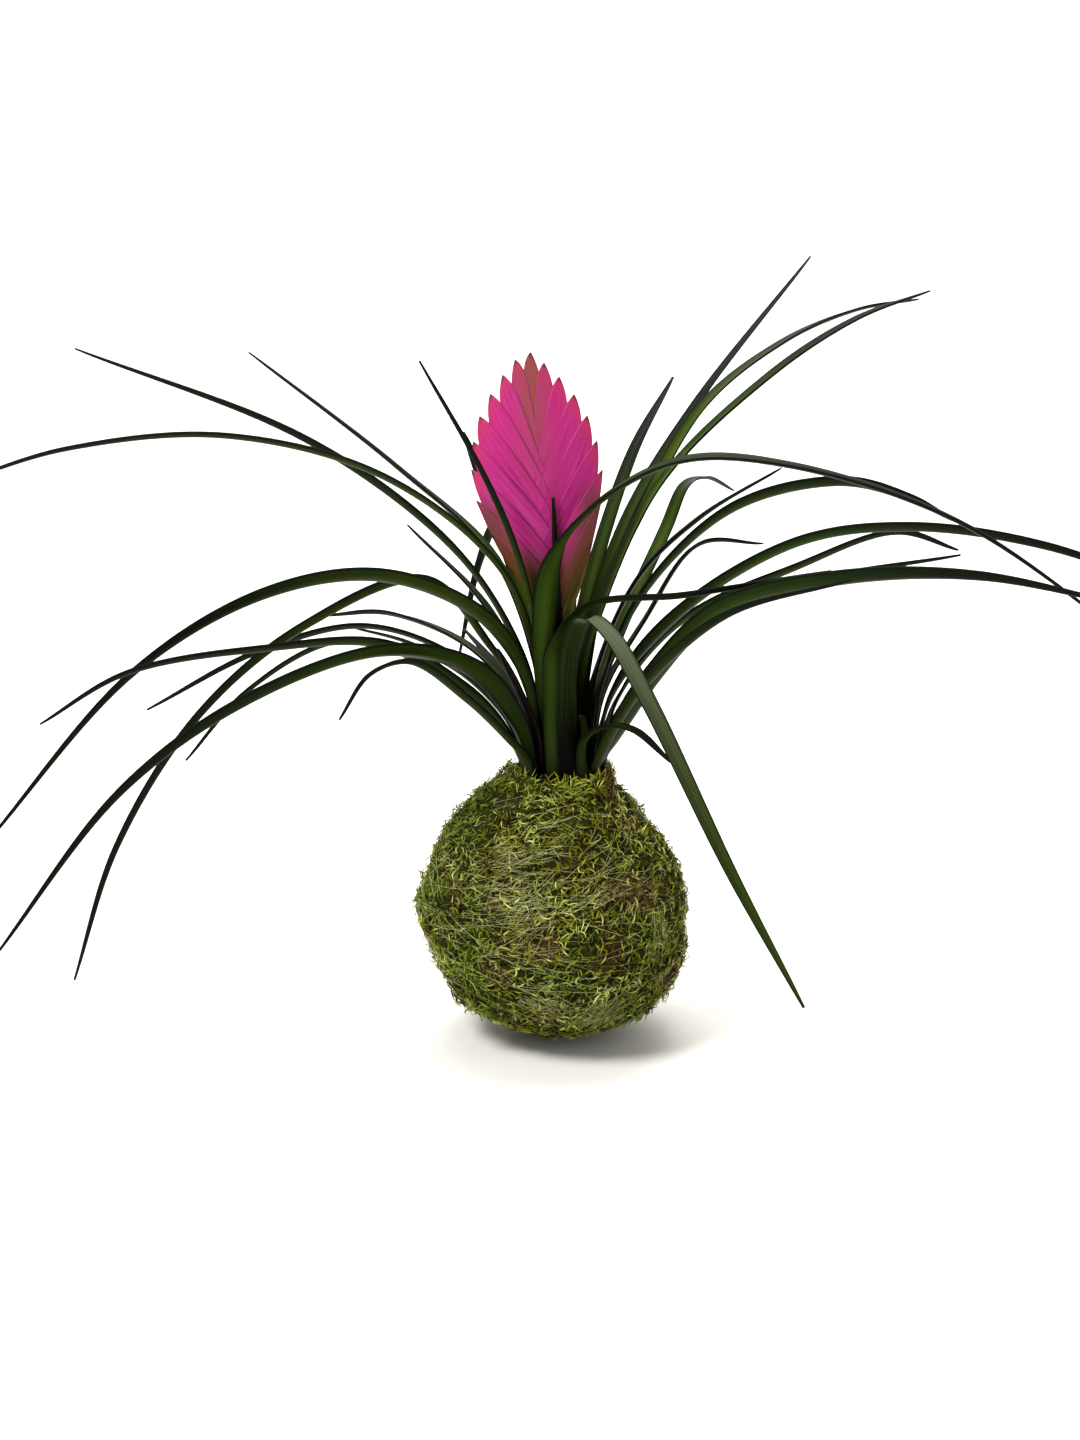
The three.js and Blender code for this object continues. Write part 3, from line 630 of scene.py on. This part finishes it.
# Flower
LOWEST_GREEN = -2
LOWEST_PINK = 2
TOP_BRACT = 16
BRACT_ROWS = 34
BRACT_COLUMNS = 14
BRACT_LOWEST_SIZE = 0.75  # size of the bracts below the first
BRACT_STEP = 0.2  # how far a bract stands over the next one up
BRACT_STEP_POWER = 1.6
BRACT_LAYER = 0.045  # and how much deeper each one lies than the one below it
BRACT_OPEN = 34  # from a bract's tip down to where its margin meets the middle
BRACT_VALUES = ("share", "along", "level", "near", "rank")
FLOWER_MIDDLE_DEPTH = 3.9  # half thickness of the flower along its middle
FLOWER_EDGE_DEPTH = 0.3
FLOWER_ROUNDNESS = 2.2
FLOWER_FILLING = (-12, 30)  # heights over which it gets thicker, upwards from its foot
FLOWER_THINNING = (58, 98)  # and over which it thins towards its top
STALK_SIDES = 20
STALK_STEPS = 12
STALK_RANK = -3
STALK_THINNING = 0.2  # how much of its radius the stalk loses up to the flower
STALK_SLACK = 0.05  # how far it lies inside the source's stalk

# Bracts in the flower's own plane: "along" is the distance down from the tip, "of_tip" and
# "of_outline" are shares of the tip's and the outline's distance from the middle line
KEEL_LOW = {"along": 23, "of_tip": 0.75, "of_outline": 1.1}
KEEL_HIGH = {"along": 14, "of_tip": 1.06, "past_tip": 4.2}
KEEL_BULGE = 0.08
KEEL_BULGE_HEIGHTS = (66, 80)
PINK_FOOT = {"across": -2, "lengths": 1.35}
PINK_BEND = {"of_tip": 0.4, "lengths": 1.15}
MARGIN_FOOT = 1  # how far the margin's foot lies past the overlap
MARGIN_BEND = {"along": 18, "of_tip": 0.25}
MARGIN_SHOULDER = {"along": 4, "inside": 5.4}
MARGIN_TIP = 0.35


def spike_half_width(side, height):
    up = np.clip((height - SPIKE_WIDEST) / (SPIKE_TOP - SPIKE_WIDEST), 0, 1)
    down = np.clip((SPIKE_WIDEST - height) / SPIKE_TAPER, 0, 1)
    widest = np.where(np.asarray(side) > 0, SPIKE_RIGHT, SPIKE_LEFT)
    return widest * (1 - up ** SPIKE_BLUNTNESS - down ** SPIKE_TAPER_POWER)


def bezier(controls, share):
    """Points on a Bezier line for an array of shares."""
    degree = len(controls) - 1
    total = 0
    for k, control in enumerate(controls):
        weight = math.comb(degree, k) * share ** k * (1 - share) ** (degree - k)
        total = total + weight[:, None] * np.array(control)
    return total


def outline_at(side, height):
    """Distance of the flower's outline from its middle line."""
    return max(1, float(spike_half_width(side, height)))


def bract_keel(index, side, top, tip, wide):
    """Control points of a bract's folded outer edge, from its foot to its tip."""
    size = BRACT_LOWEST_SIZE if index < 0 else 1
    low, high = top - KEEL_LOW["along"] * size, top - KEEL_HIGH["along"] * size
    low_side = min(KEEL_LOW["of_tip"] * tip, KEEL_LOW["of_outline"] * outline_at(side, low))
    reach = 1 + KEEL_BULGE * float(smoothstep(top, *KEEL_BULGE_HEIGHTS))
    high_side = min(KEEL_HIGH["of_tip"] * tip + KEEL_HIGH["past_tip"], reach * outline_at(side, high))
    keel = [(low_side, low), (high_side + wide / 4, high), (tip, top)]
    if index < LOWEST_PINK:
        return [(BRACT_OVERLAP, top - BRACT_LENGTH * size)] + keel
    foot = (PINK_FOOT["across"], top - PINK_FOOT["lengths"] * BRACT_LENGTH)
    bend = (PINK_BEND["of_tip"] * tip, top - PINK_BEND["lengths"] * BRACT_LENGTH)
    return [foot, bend] + keel


def bract_margin(index, top, tip, wide):
    """Control points of a bract's free edge, which lies over the flower's middle."""
    size = BRACT_LOWEST_SIZE if index < 0 else 1
    over = wide if index == TOP_BRACT else 0
    return [
        (-BRACT_OVERLAP - MARGIN_FOOT, top - BRACT_OPEN * size + over),
        (MARGIN_BEND["of_tip"] * tip - over / 2, top - MARGIN_BEND["along"] * size),
        (tip - MARGIN_SHOULDER["inside"] * size, top - MARGIN_SHOULDER["along"] * size),
        (tip - MARGIN_TIP, top),
    ]


def bract_edges(index, share):
    """Keel and margin of a bract in the flower's own plane."""
    side = 1 if index % 2 == 0 else -1
    top = FIRST_TIP + TIP_SPACING * index - TIP_CROWDING * index * index
    tip = max(SPIKE_LEAST_TIP, float(spike_half_width(side, top)))
    wide = BRACT_TOP_WIDTH * float(smoothstep(top, *BRACT_TOP_HEIGHTS))
    flip = np.array([side, 1])
    keel = bezier(bract_keel(index, side, top, tip, wide), share)
    return keel * flip, bezier(bract_margin(index, top, tip, wide), share) * flip


def nearness(flat):
    """How near each point is to the flower's outline, from 0 at its middle line to 1."""
    outline = np.maximum(1.5, spike_half_width(flat[:, 0], np.minimum(flat[:, 1], SPIKE_TOP - 2)))
    return np.clip(np.abs(flat[:, 0]) / outline, 0, 1)


def bract_depth(flat, share, index):
    """Half thickness of the flower, with each bract standing proud towards its margin."""
    near = nearness(flat)
    low, high = smoothstep(flat[:, 1], *FLOWER_FILLING), smoothstep(flat[:, 1], *FLOWER_THINNING)
    full = (FLOWER_MIDDLE_DEPTH - FLOWER_EDGE_DEPTH) * (0.8 + 0.2 * low) * (1 - 0.9 * high)
    step = BRACT_STEP * share ** BRACT_STEP_POWER + BRACT_LAYER * (TOP_BRACT - index)
    return FLOWER_EDGE_DEPTH + full * (1 - near ** FLOWER_ROUNDNESS) + step * (1 - 0.6 * near ** 6)


def bract_body(index):
    """Points and values of one folded bract as closed rings from its foot to its tip."""
    rows = np.linspace(0, 1, BRACT_ROWS)
    keel, margin = bract_edges(index, rows)
    shares = np.linspace(0, 1, BRACT_COLUMNS)
    lean = math.radians(-SPIKE_LEAN)
    rings, values = [], []
    for row, along in enumerate(rows):
        flat = keel[row] * (1 - shares[:, None]) + margin[row] * shares[:, None]
        depth = bract_depth(flat, shares, index)
        x = SPIKE_FOOT[0] + flat[:, 0] * math.cos(lean) + flat[:, 1] * math.sin(lean)
        z = SPIKE_FOOT[1] + flat[:, 1] * math.cos(lean) - flat[:, 0] * math.sin(lean)
        rings += [np.column_stack([x, -depth, z]), np.column_stack([x, depth, z])[::-1]]
        same = np.ones(BRACT_COLUMNS)
        front = np.column_stack([shares, along * same, flat[:, 1], nearness(flat), index * same])
        values += [front, front[::-1]]
    return np.vstack(rings), np.vstack(values)


def stalk_values(body):
    """The same values for the plain stalk: a colour without rims, painted margin shadows or a tip."""
    same = np.ones(len(body))
    levels = body[:, 2] - SPIKE_FOOT[1]
    return np.column_stack([0.5 * same, 0.3 * same, levels, 0 * same, STALK_RANK * same])


def bracts(name, indices, stalk=None):
    """Overlapping folded bracts as one object, with a plain stalk below where asked."""
    points, values, faces = [], [], []
    start = 0
    for index in indices:
        body, numbers = bract_body(index)
        block = closed_faces(BRACT_ROWS, 2 * BRACT_COLUMNS, start)
        faces += [tuple(reversed(face)) for face in block] if index % 2 else block
        points.append(body)
        values.append(numbers)
        start += len(body)
    if stalk:
        faces += closed_faces(STALK_STEPS, STALK_SIDES, start)
        points += stalk
        values.append(stalk_values(np.vstack(stalk)))
    columns = dict(zip(BRACT_VALUES, np.vstack(values).T))
    return mesh_object(name, np.vstack(points), faces, columns)


def stalk_rings():
    foot = np.array([PLANT_X, 0, CROWN_MIDDLE_TOP + GAP])
    top = np.array([SPIKE_FOOT[0], 0, SPIKE_FOOT[1]])
    rings = []
    for share in np.linspace(0, 1, STALK_STEPS):
        radius = STALK_RADIUS * (1 - STALK_THINNING * share) - STALK_SLACK
        rings.append(foot + (top - foot) * share + radius * circle(STALK_SIDES))
    return rings


# Moss
def moss_middle(height):
    _, heights, middles = zip(*MOSS_OUTLINE)
    return np.interp(height, heights, middles)


def waves(angle, height):
    (turns, slant), (others, other_slant) = MOSS_LUMP_WAVES
    return np.sin(turns * angle + slant * height) * np.cos(others * angle + other_slant * height)


def moss_radius(angle, height):
    radii, heights, _ = zip(*MOSS_OUTLINE)
    fade = np.sin(math.pi * np.clip(height / MOSS_TOP, 0, 1))
    return np.interp(height, heights, radii) + MOSS_LUMP_DEPTH * fade * waves(angle, height)


def moss_point(angle, height, out=0.0):
    radius = moss_radius(angle, height) + out
    x = moss_middle(height) + radius * np.cos(angle)
    return np.stack([x, radius * np.sin(angle), height], axis=-1)


CLOUD_WAVES = 7
CLOUD_PACE = 2.2
CLOUD_SPREAD = 2.6


def cloud(points, size, seed, strength):
    """Smooth random numbers, up to about the strength, that change over the given size."""
    rng = np.random.default_rng(seed)
    total = np.zeros(len(points))
    for _ in range(CLOUD_WAVES):
        wave = rng.normal(0, CLOUD_PACE / size, 3)
        total += np.sin(points @ wave + rng.uniform(0, 2 * math.pi))
    return total / CLOUD_SPREAD * strength


# Patches of dry moss: place on the ball (x, y, z) and size
DRY_PATCHES = [
    (-6, -46, 20, 8), (-3, -30, 6, 6), (-23, -42, 36, 8), (33, -33, 60, 10), (-5, -50, 55, 7),
    (20, -6, 97, 10), (-34, -32, 62, 6), (20, -42, 44, 8), (-36, -24, 22, 7), (40, -20, 30, 7),
    (10, 46, 60, 12), (-30, 34, 40, 11), (34, 30, 28, 9), (-10, 44, 22, 9), (45, 8, 62, 9),
]


# Clouds of random numbers: size in millimetres, seed and strength
CUSHIONS = (9, 31, 0.85)
SMALL_CUSHIONS = (4, 32, 0.9)
BED_GRAIN = (1.6, 33, 0.35)
BED_TINT = (3, 34, 0.3)
DRY_AREAS = (16, 35, 1)
RAGGED_PATCHES = (4, 36, 2.2)
SPRIG_HEADING = (12, 41, 1.1)
SPRIG_TINT = (7, 42, 0.2)


def dryness(points):
    """How brown the moss is at each point, 0 to 1."""
    level = smoothstep(cloud(points, *DRY_AREAS), 0.55, 1.15) * 0.75
    ragged = cloud(points, *RAGGED_PATCHES)
    for x, y, z, size in DRY_PATCHES:
        away = np.linalg.norm(points - np.array([x, y, z]), axis=1) + ragged
        level = np.maximum(level, 0.9 * (1 - smoothstep(away, 0.3 * size, size)))
    return level


def clumps(points):
    """How far cushions of moss stand out or lie deep, in millimetres."""
    return cloud(points, *CUSHIONS) + cloud(points, *SMALL_CUSHIONS)


MOSS_ROWS = 120
MOSS_SIDES = 220
MOSS_BED = 1.5  # how deep the bed lies under the outline
MOSS_LEAST_DEPTH = 0.1
MOSS_EDGE = 6  # the bed rises to the outline over this height at the ball's foot and top
MOSS_GROUNDING = (1, 14)  # heights over which the sprigs are pressed flat by the ball's weight


def moss_bed():
    """The closed bed of moss that the sprigs grow from, with its hollow inside."""
    angles = np.linspace(0, 2 * math.pi, MOSS_SIDES, endpoint=False)
    heights = MOSS_TOP * (1 - np.cos(np.linspace(0, math.pi, MOSS_ROWS))) / 2
    rings = []
    for height in heights:
        ring = moss_point(angles, np.full(MOSS_SIDES, height))
        centre = np.array([float(moss_middle(height)), 0, height])
        fade = min(1, height / MOSS_EDGE, (MOSS_TOP + 1 - height) / MOSS_EDGE)
        deep = (MOSS_BED - 0.8 * clumps(ring) + cloud(ring, *BED_GRAIN)) * fade
        rings.append(ring - unit(ring - centre) * np.maximum(MOSS_LEAST_DEPTH, deep)[:, None])
    for radius, height in ((COLLAR_BORE, MOSS_TOP - 0.6), (COLLAR_BORE - 0.1, SOIL_TOP + 0.5)):
        centre = np.array([float(moss_middle(height)), 0, height])
        rings.append(centre + radius * circle(MOSS_SIDES))
    points = np.vstack(rings)
    tint = 0.4 + cloud(points, *BED_TINT)
    # the bed takes part of the painted shade of a sprig's foot
    values = {"along": np.full(len(points), 0.35), "tint": tint, "brown": dryness(points)}
    return mesh_object("moss_bed", points, closed_faces(len(rings), MOSS_SIDES), values)


def scattered(count, rng, lowest, highest):
    """Evenly spread angles and heights on the ball."""
    table = np.linspace(lowest, highest, 400)
    radii = moss_radius(np.zeros(400), table)
    run = np.hypot(np.diff(radii, prepend=radii[0]), np.diff(table, prepend=table[0]))
    area = np.cumsum(radii * run)
    heights = np.interp(rng.uniform(0, area[-1], count), area, table)
    return rng.uniform(0, 2 * math.pi, count), heights


def surface_axes(angle, height):
    """Directions round the ball, up along it and out of it."""
    step = 0.02
    around = unit(moss_point(angle + step, height) - moss_point(angle - step, height))
    up = unit(moss_point(angle, height + 0.5) - moss_point(angle, height - 0.5))
    out = unit(np.cross(around, up))
    return around, np.cross(out, around), out


SPRIG_SIDES = 3
SPRIG_FLATNESS = 0.55
SPRIG_DROOP = (0.05, 0.35)  # bend down towards the ball at each ring, in radians
SPRIG_LOWEST = 0.05  # over the floor
SPRIG_USUAL = (4, (0, MOSS_TOP), 0.5)  # rings, range of heights and heading where none are given

# Layers of sprigs: count, length, width, lift in degrees, curl, how far the feet lie over the
# outline, how much the headings differ, rings, range of heights and mean heading
MOSS_LAYERS = {
    "moss_under": (7000, (3, 5.5), (0.5, 0.8), (0, 25), 0.3, -1.0, 1.4, 3),
    "moss_curly": (6000, (3.5, 7.5), (0.5, 0.85), (5, 45), 0.6, -0.8, 1.1, 5),
    "moss_laid": (7400, (4, 8), (0.26, 0.48), (0, 20), 0.35, -0.4, 0.8),
    "moss_tufts": (2800, (2.5, 4.5), (0.45, 0.75), (20, 65), 0.5, -0.5, 1.8),
    "moss_collar": (1000, (3, 6.5), (0.35, 0.6), (0, 50), 0.4, -0.6, 0.8, 4, (92, MOSS_TOP), 1.4),
}


def sprig_corners(centre, forward, outward, radius):
    """Three corners of every sprig round its middle line, flattened towards the ball."""
    side = np.cross(forward, outward)
    side /= np.maximum(1e-6, np.linalg.norm(side, axis=1))[:, None]
    over = np.cross(side, forward)
    corners = []
    for k in range(SPRIG_SIDES):
        turn = 2 * math.pi * k / SPRIG_SIDES + math.pi / 2
        flatness = SPRIG_FLATNESS * math.sin(turn)
        aside = side * (radius * math.cos(turn))[:, None]
        corners.append(centre + aside + over * (radius * flatness)[:, None])
    return corners


def sprig_object(name, corners, feet, segments, rng):
    """One object from the corners of all sprigs, with their colours."""
    count, per = corners.shape[:2]
    pattern = closed_faces(segments + 1, SPRIG_SIDES)
    faces = []
    for start in range(0, count * per, per):
        faces += [tuple(corner + start for corner in face) for face in pattern]
    tint = np.clip(0.45 + cloud(feet, *SPRIG_TINT) + rng.normal(0, 0.3, count), 0, 1)
    brown = np.clip(dryness(feet) + rng.normal(0, 0.18, count), 0, 1)
    along = np.tile(np.repeat(np.arange(segments + 1) / segments, SPRIG_SIDES), count)
    values = {"along": along, "tint": np.repeat(tint, per), "brown": np.repeat(brown, per)}
    return mesh_object(name, corners.reshape(-1, 3), faces, values)


def sprigs(name, rng, layer):
    """Short curved three-sided sprigs that lie over the ball, as one object."""
    count, length, width, lift, curl, out, flow, *more = layer
    segments, zone, aim = (*more, *SPRIG_USUAL[len(more):])
    angle, height = scattered(count, rng, *zone)
    feet = moss_point(angle, height)
    around, up, outward = surface_axes(angle, height)
    grounded = smoothstep(height, *MOSS_GROUNDING)
    feet = feet + outward * ((out + clumps(feet)) * grounded)[:, None]
    heading = aim + cloud(feet, *SPRIG_HEADING) + rng.normal(0, flow, count)
    rise = np.radians(rng.uniform(*lift, count)) * grounded
    bend = rng.normal(0, curl, count)
    droop = rng.uniform(*SPRIG_DROOP, count)
    stretch = rng.uniform(*length, count) / segments
    thick = rng.uniform(*width, count)
    corners = []
    centre = feet
    for ring in range(segments + 1):
        flat, tilt = heading + bend * ring, rise - droop * ring
        along = around * np.cos(flat)[:, None] + up * np.sin(flat)[:, None]
        forward = along * np.cos(tilt)[:, None] + outward * np.sin(tilt)[:, None]
        if ring:
            centre = centre + forward * stretch[:, None]
        share = ring / segments
        radius = thick * (0.75 + 0.5 * math.sin(2.6 * share)) * (1 - share ** 2.5 * 0.9) / 2
        corners += sprig_corners(centre, forward, outward, radius)
    stacked = np.stack(corners, axis=1)
    stacked[:, :, 2] = np.maximum(stacked[:, :, 2], SPRIG_LOWEST)
    return sprig_object(name, stacked, feet, segments, rng)


# Thread and loose fibres
THREAD_WINDINGS = [(42, 12, 20), (46, 24, 130), (48, 34, 250), (56, 26, 40)]
THREAD_STEPS = 200
THREAD_SIDES = 4
THREAD_RADIUS = 0.07
THREAD_BRIDGE = 6  # steps to each side over which a winding bridges the hollows of the moss
THREAD_OVER = 0.2
THIN_WINDINGS = 16
THIN_HEIGHTS = (32, 66)
THIN_SWINGS = (4, 30)
THIN_RADII = (0.03, 0.05)


def tube(centres, radius, sides, closed):
    """Rings round a line of points on the ball; the line may close on itself."""
    ahead = np.roll(centres, -1, axis=0) - np.roll(centres, 1, axis=0)
    if not closed:
        ahead[0] = centres[1] - centres[0]
        ahead[-1] = centres[-1] - centres[-2]
    ahead = unit(ahead)
    side = unit(np.cross(ahead, centres - np.array([PLANT_X / 2, 0, 48])))
    over = np.cross(side, ahead)
    turns = 2 * math.pi * np.arange(sides) / sides
    ring = np.cos(turns)[:, None, None] * side + np.sin(turns)[:, None, None] * over
    return (centres + radius * ring).transpose(1, 0, 2).reshape(-1, 3)


def winding_line(middle, swing, direction):
    """Middle line of a winding that lies on the moss."""
    angle = np.linspace(0, 2 * math.pi, THREAD_STEPS, endpoint=False)
    height = middle + swing * np.sin(angle - math.radians(direction))
    height = height + 0.5 * np.sin(5 * angle + direction) + 0.3 * np.sin(11 * angle)
    rest = np.clip(clumps(moss_point(angle, height)), -0.6, 1.2)
    shifts = range(-THREAD_BRIDGE, THREAD_BRIDGE + 1)
    smooth = sum(np.roll(rest, shift) for shift in shifts) / len(shifts)
    return moss_point(angle, height, THREAD_OVER + smooth)


def windings(rng):
    """The thread: the four main windings and thinner ones between them."""
    points, faces, tints = [], [], []
    loops = [(*winding, THREAD_RADIUS) for winding in THREAD_WINDINGS]
    for _ in range(THIN_WINDINGS):
        middle, swing = rng.uniform(*THIN_HEIGHTS), rng.uniform(*THIN_SWINGS)
        loops.append((middle, swing, rng.uniform(0, 360), rng.uniform(*THIN_RADII)))
    total = THREAD_STEPS * THREAD_SIDES
    for turn, (middle, swing, direction, radius) in enumerate(loops):
        points.append(tube(winding_line(middle, swing, direction), radius, THREAD_SIDES, True))
        for face in ring_faces(THREAD_STEPS + 1, THREAD_SIDES):
            faces.append(tuple(turn * total + corner % total for corner in face))
        tints.append(np.full(total, rng.uniform(0, 1)))
    return mesh_object("thread_windings", np.vstack(points), faces, {"tint": np.concatenate(tints)})


FIBRE_STEPS = 8
FIBRE_SIDES = 3
FIBRE_LENGTHS = (5, 17)
FIBRE_RADII = (0.035, 0.07)
SINGLE_FIBRES = 260
SINGLE_FIBRE_ZONE = (8, 92)

# Sheaves of fibres: angle round the ball, height, slope, spread in millimetres and count
FIBRE_SHEAVES = [
    (-104, 62, 8, 11, 45), (-96, 58, 40, 14, 26), (-94, 43, 0, 12, 18), (-70, 20, 38, 9, 60),
    (-98, 25, -24, 7, 40), (-92, 80, 14, 13, 40), (-40, 46, 78, 7, 30), (-116, 72, 16, 10, 40),
    (-60, 66, 20, 10, 26), (20, 50, 12, 14, 40), (90, 60, -10, 15, 50), (150, 40, 24, 14, 40),
]


def fibre_places(rng):
    """Angle, height and slope of each loose fibre, in sheaves and singly."""
    places = []
    for direction, middle, slope, spread, count in FIBRE_SHEAVES:
        radius = float(moss_radius(0.0, middle))
        for _ in range(count):
            aside, over = rng.normal(0, spread / 2, 2)
            tilt = math.radians(slope + rng.normal(0, 14))
            places.append((math.radians(direction) + aside / radius, middle + over, tilt))
    angles, heights = scattered(SINGLE_FIBRES, rng, *SINGLE_FIBRE_ZONE)
    places += [(a, h, rng.normal(0.25, 0.6)) for a, h in zip(angles, heights)]
    return places


def fibre_line(angle, height, slope, rng):
    """Middle line of one fibre that bridges the sprigs under it."""
    share = np.linspace(-0.5, 0.5, FIBRE_STEPS)
    reach = rng.uniform(*FIBRE_LENGTHS)
    radius = max(12, float(moss_radius(angle, height)))
    angles = angle + share * reach * math.cos(slope) / radius
    heights = height + share * reach * math.sin(slope) + rng.normal(0, 0.8) * share ** 2
    heights = np.clip(heights, 1, MOSS_TOP - 1)
    under = np.mean(np.clip(clumps(moss_point(angles, heights)), -0.5, 1.4))
    lift = 0.25 + under + 2 * share ** 2 * rng.uniform(-0.6, 0.8)
    return moss_point(angles, heights, lift + 0.2)


def fibres(rng):
    """Loose pale fibres that lie nearly straight over the moss."""
    points, faces, tints = [], [], []
    count = FIBRE_STEPS * FIBRE_SIDES
    for index, (angle, height, slope) in enumerate(fibre_places(rng)):
        centres = fibre_line(angle, height, slope, rng)
        points.append(tube(centres, rng.uniform(*FIBRE_RADII), FIBRE_SIDES, False))
        faces += closed_faces(FIBRE_STEPS, FIBRE_SIDES, index * count)
        tints.append(np.full(count, rng.uniform(0, 1)))
    return mesh_object("loose_fibres", np.vstack(points), faces, {"tint": np.concatenate(tints)})


# Studio
FLOOR_HALF_WIDTH = 4000
FLOOR_FRONT = -3000
FLOOR_SWEEP_START = 1400
FLOOR_SWEEP = 900  # radius of the bend from the floor up into the backdrop
FLOOR_SWEEP_STEPS = 12
BACKDROP_HEIGHT = 4000

# Lamps: place, target and diameter in metres, and power in watts
LAMPS = {
    "key": ((-0.9, -0.7, 1.5), (0, 0, 0.1), 0.7, 34),
    "fill": ((1.2, -1.2, 0.9), (0, 0, 0.12), 1.4, 4),
    "rear": ((0.3, 1.3, 1.3), (0, 0, 0.15), 1.2, 8),
    "backdrop": ((0, 0.9, 2.6), (0, 2.3, 0.6), 2.0, 90),
}
SKY_STRENGTH = 0.46
CAMERA_PLACE = (-5.5, -844.4, 332.2)
CAMERA_TILT = 75.7
CAMERA_LENS = 60.68
CAMERA_SENSOR = 36


def floor():
    """A pale floor that sweeps up far behind the object."""
    profile = [(FLOOR_FRONT, 0), (FLOOR_SWEEP_START, 0)]
    for step in range(1, FLOOR_SWEEP_STEPS + 1):
        turn = math.pi / 2 * step / FLOOR_SWEEP_STEPS
        back = FLOOR_SWEEP_START + FLOOR_SWEEP * math.sin(turn)
        profile.append((back, FLOOR_SWEEP * (1 - math.cos(turn))))
    profile.append((FLOOR_SWEEP_START + FLOOR_SWEEP, BACKDROP_HEIGHT))
    points = [(x, y, z) for y, z in profile for x in (-FLOOR_HALF_WIDTH, FLOOR_HALF_WIDTH)]
    faces = [(k, k + 1, k + 3, k + 2) for k in range(0, len(points) - 2, 2)]
    item = mesh_object("floor", points, faces)
    item.data.materials.append(floor_look())


def lamp(name, place, target, size, power):
    data = bpy.data.lights.new(name, "AREA")
    data.shape = "DISK"
    data.size = size
    data.energy = power
    item = bpy.data.objects.new(name, data)
    item.location = place
    item.rotation_euler = (Vector(target) - Vector(place)).to_track_quat("-Z", "Y").to_euler()
    scene.collection.objects.link(item)


def lights():
    for name, numbers in LAMPS.items():
        lamp(name, *numbers)
    world = bpy.data.worlds.new("studio")
    world.use_nodes = True
    background = world.node_tree.nodes["Background"]
    background.inputs["Color"].default_value = rgb(252, 252, 252)
    background.inputs["Strength"].default_value = SKY_STRENGTH
    scene.world = world
    scene.view_settings.view_transform = "Standard"


def camera():
    data = bpy.data.cameras.new("camera")
    data.sensor_width = CAMERA_SENSOR
    data.lens = CAMERA_LENS
    data.clip_start = 0.01
    item = bpy.data.objects.new("camera", data)
    item.location = Vector(CAMERA_PLACE) * MM
    item.rotation_euler = (math.radians(CAMERA_TILT), 0, 0)
    scene.collection.objects.link(item)
    scene.camera = item


# Pieces
def build_leaves(rng):
    green, fold = leaf_look(), pale_leaf_look()
    for name, leaf in LEAVES.items():
        material = fold if name == FOLDED_LEAF else green
        show(blade(name, leaf, rng), material, "leaf", "leaf_" + name)


def build_flower():
    pink = bracts("pink_bracts", range(LOWEST_PINK, TOP_BRACT + 1))
    show(pink, bract_look(), "bract", "flower_spike")
    green = bracts("green_bracts", range(LOWEST_GREEN, LOWEST_PINK), stalk_rings())
    show(green, stalk_look(), "stalk", "flower_stalk")


def build_moss(rng):
    # the dark colour is painted shade at the sprigs' feet and darkens the grain in places
    dark = rgb(15, 14, 3)
    # a darker copy of the moss colours, painted shade for the bed and the lowest sprigs under the rest
    shaded_moss_colours = rgb(44, 41, 5), rgb(62, 63, 7), rgb(100, 98, 20), rgb(44, 62, 6)
    deep = moss_look("moss_shaded", dark, *shaded_moss_colours)
    bright = rgb(114, 106, 10), rgb(152, 160, 20), rgb(232, 243, 136), rgb(104, 146, 20)
    fresh = moss_look("moss_fresh", dark, *bright)
    show(moss_bed(), deep, "moss", "moss_jacket")
    for name, layer in MOSS_LAYERS.items():
        show(sprigs(name, rng, layer), deep if name == "moss_under" else fresh, "moss")


def build_thread(rng):
    pale = thread_look()
    show(windings(rng), pale, "thread", "binding_thread")
    show(fibres(rng), pale, "thread")


def dress_frame():
    earth = earth_look("soil_dark", rgb(24, 17, 12), rgb(48, 35, 25), rgb(88, 66, 44))
    bark = earth_look("stem_brown", rgb(18, 11, 10), rgb(40, 25, 22), rgb(70, 46, 36))
    for node, material in (("soil_ball", earth), ("stem", bark)):
        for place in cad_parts[node].material_slots:
            place.material = material


camera()
lights()
floor()
draws = np.random.default_rng(11)
build_leaves(draws)
build_flower()
build_moss(draws)
build_thread(draws)
dress_frame()
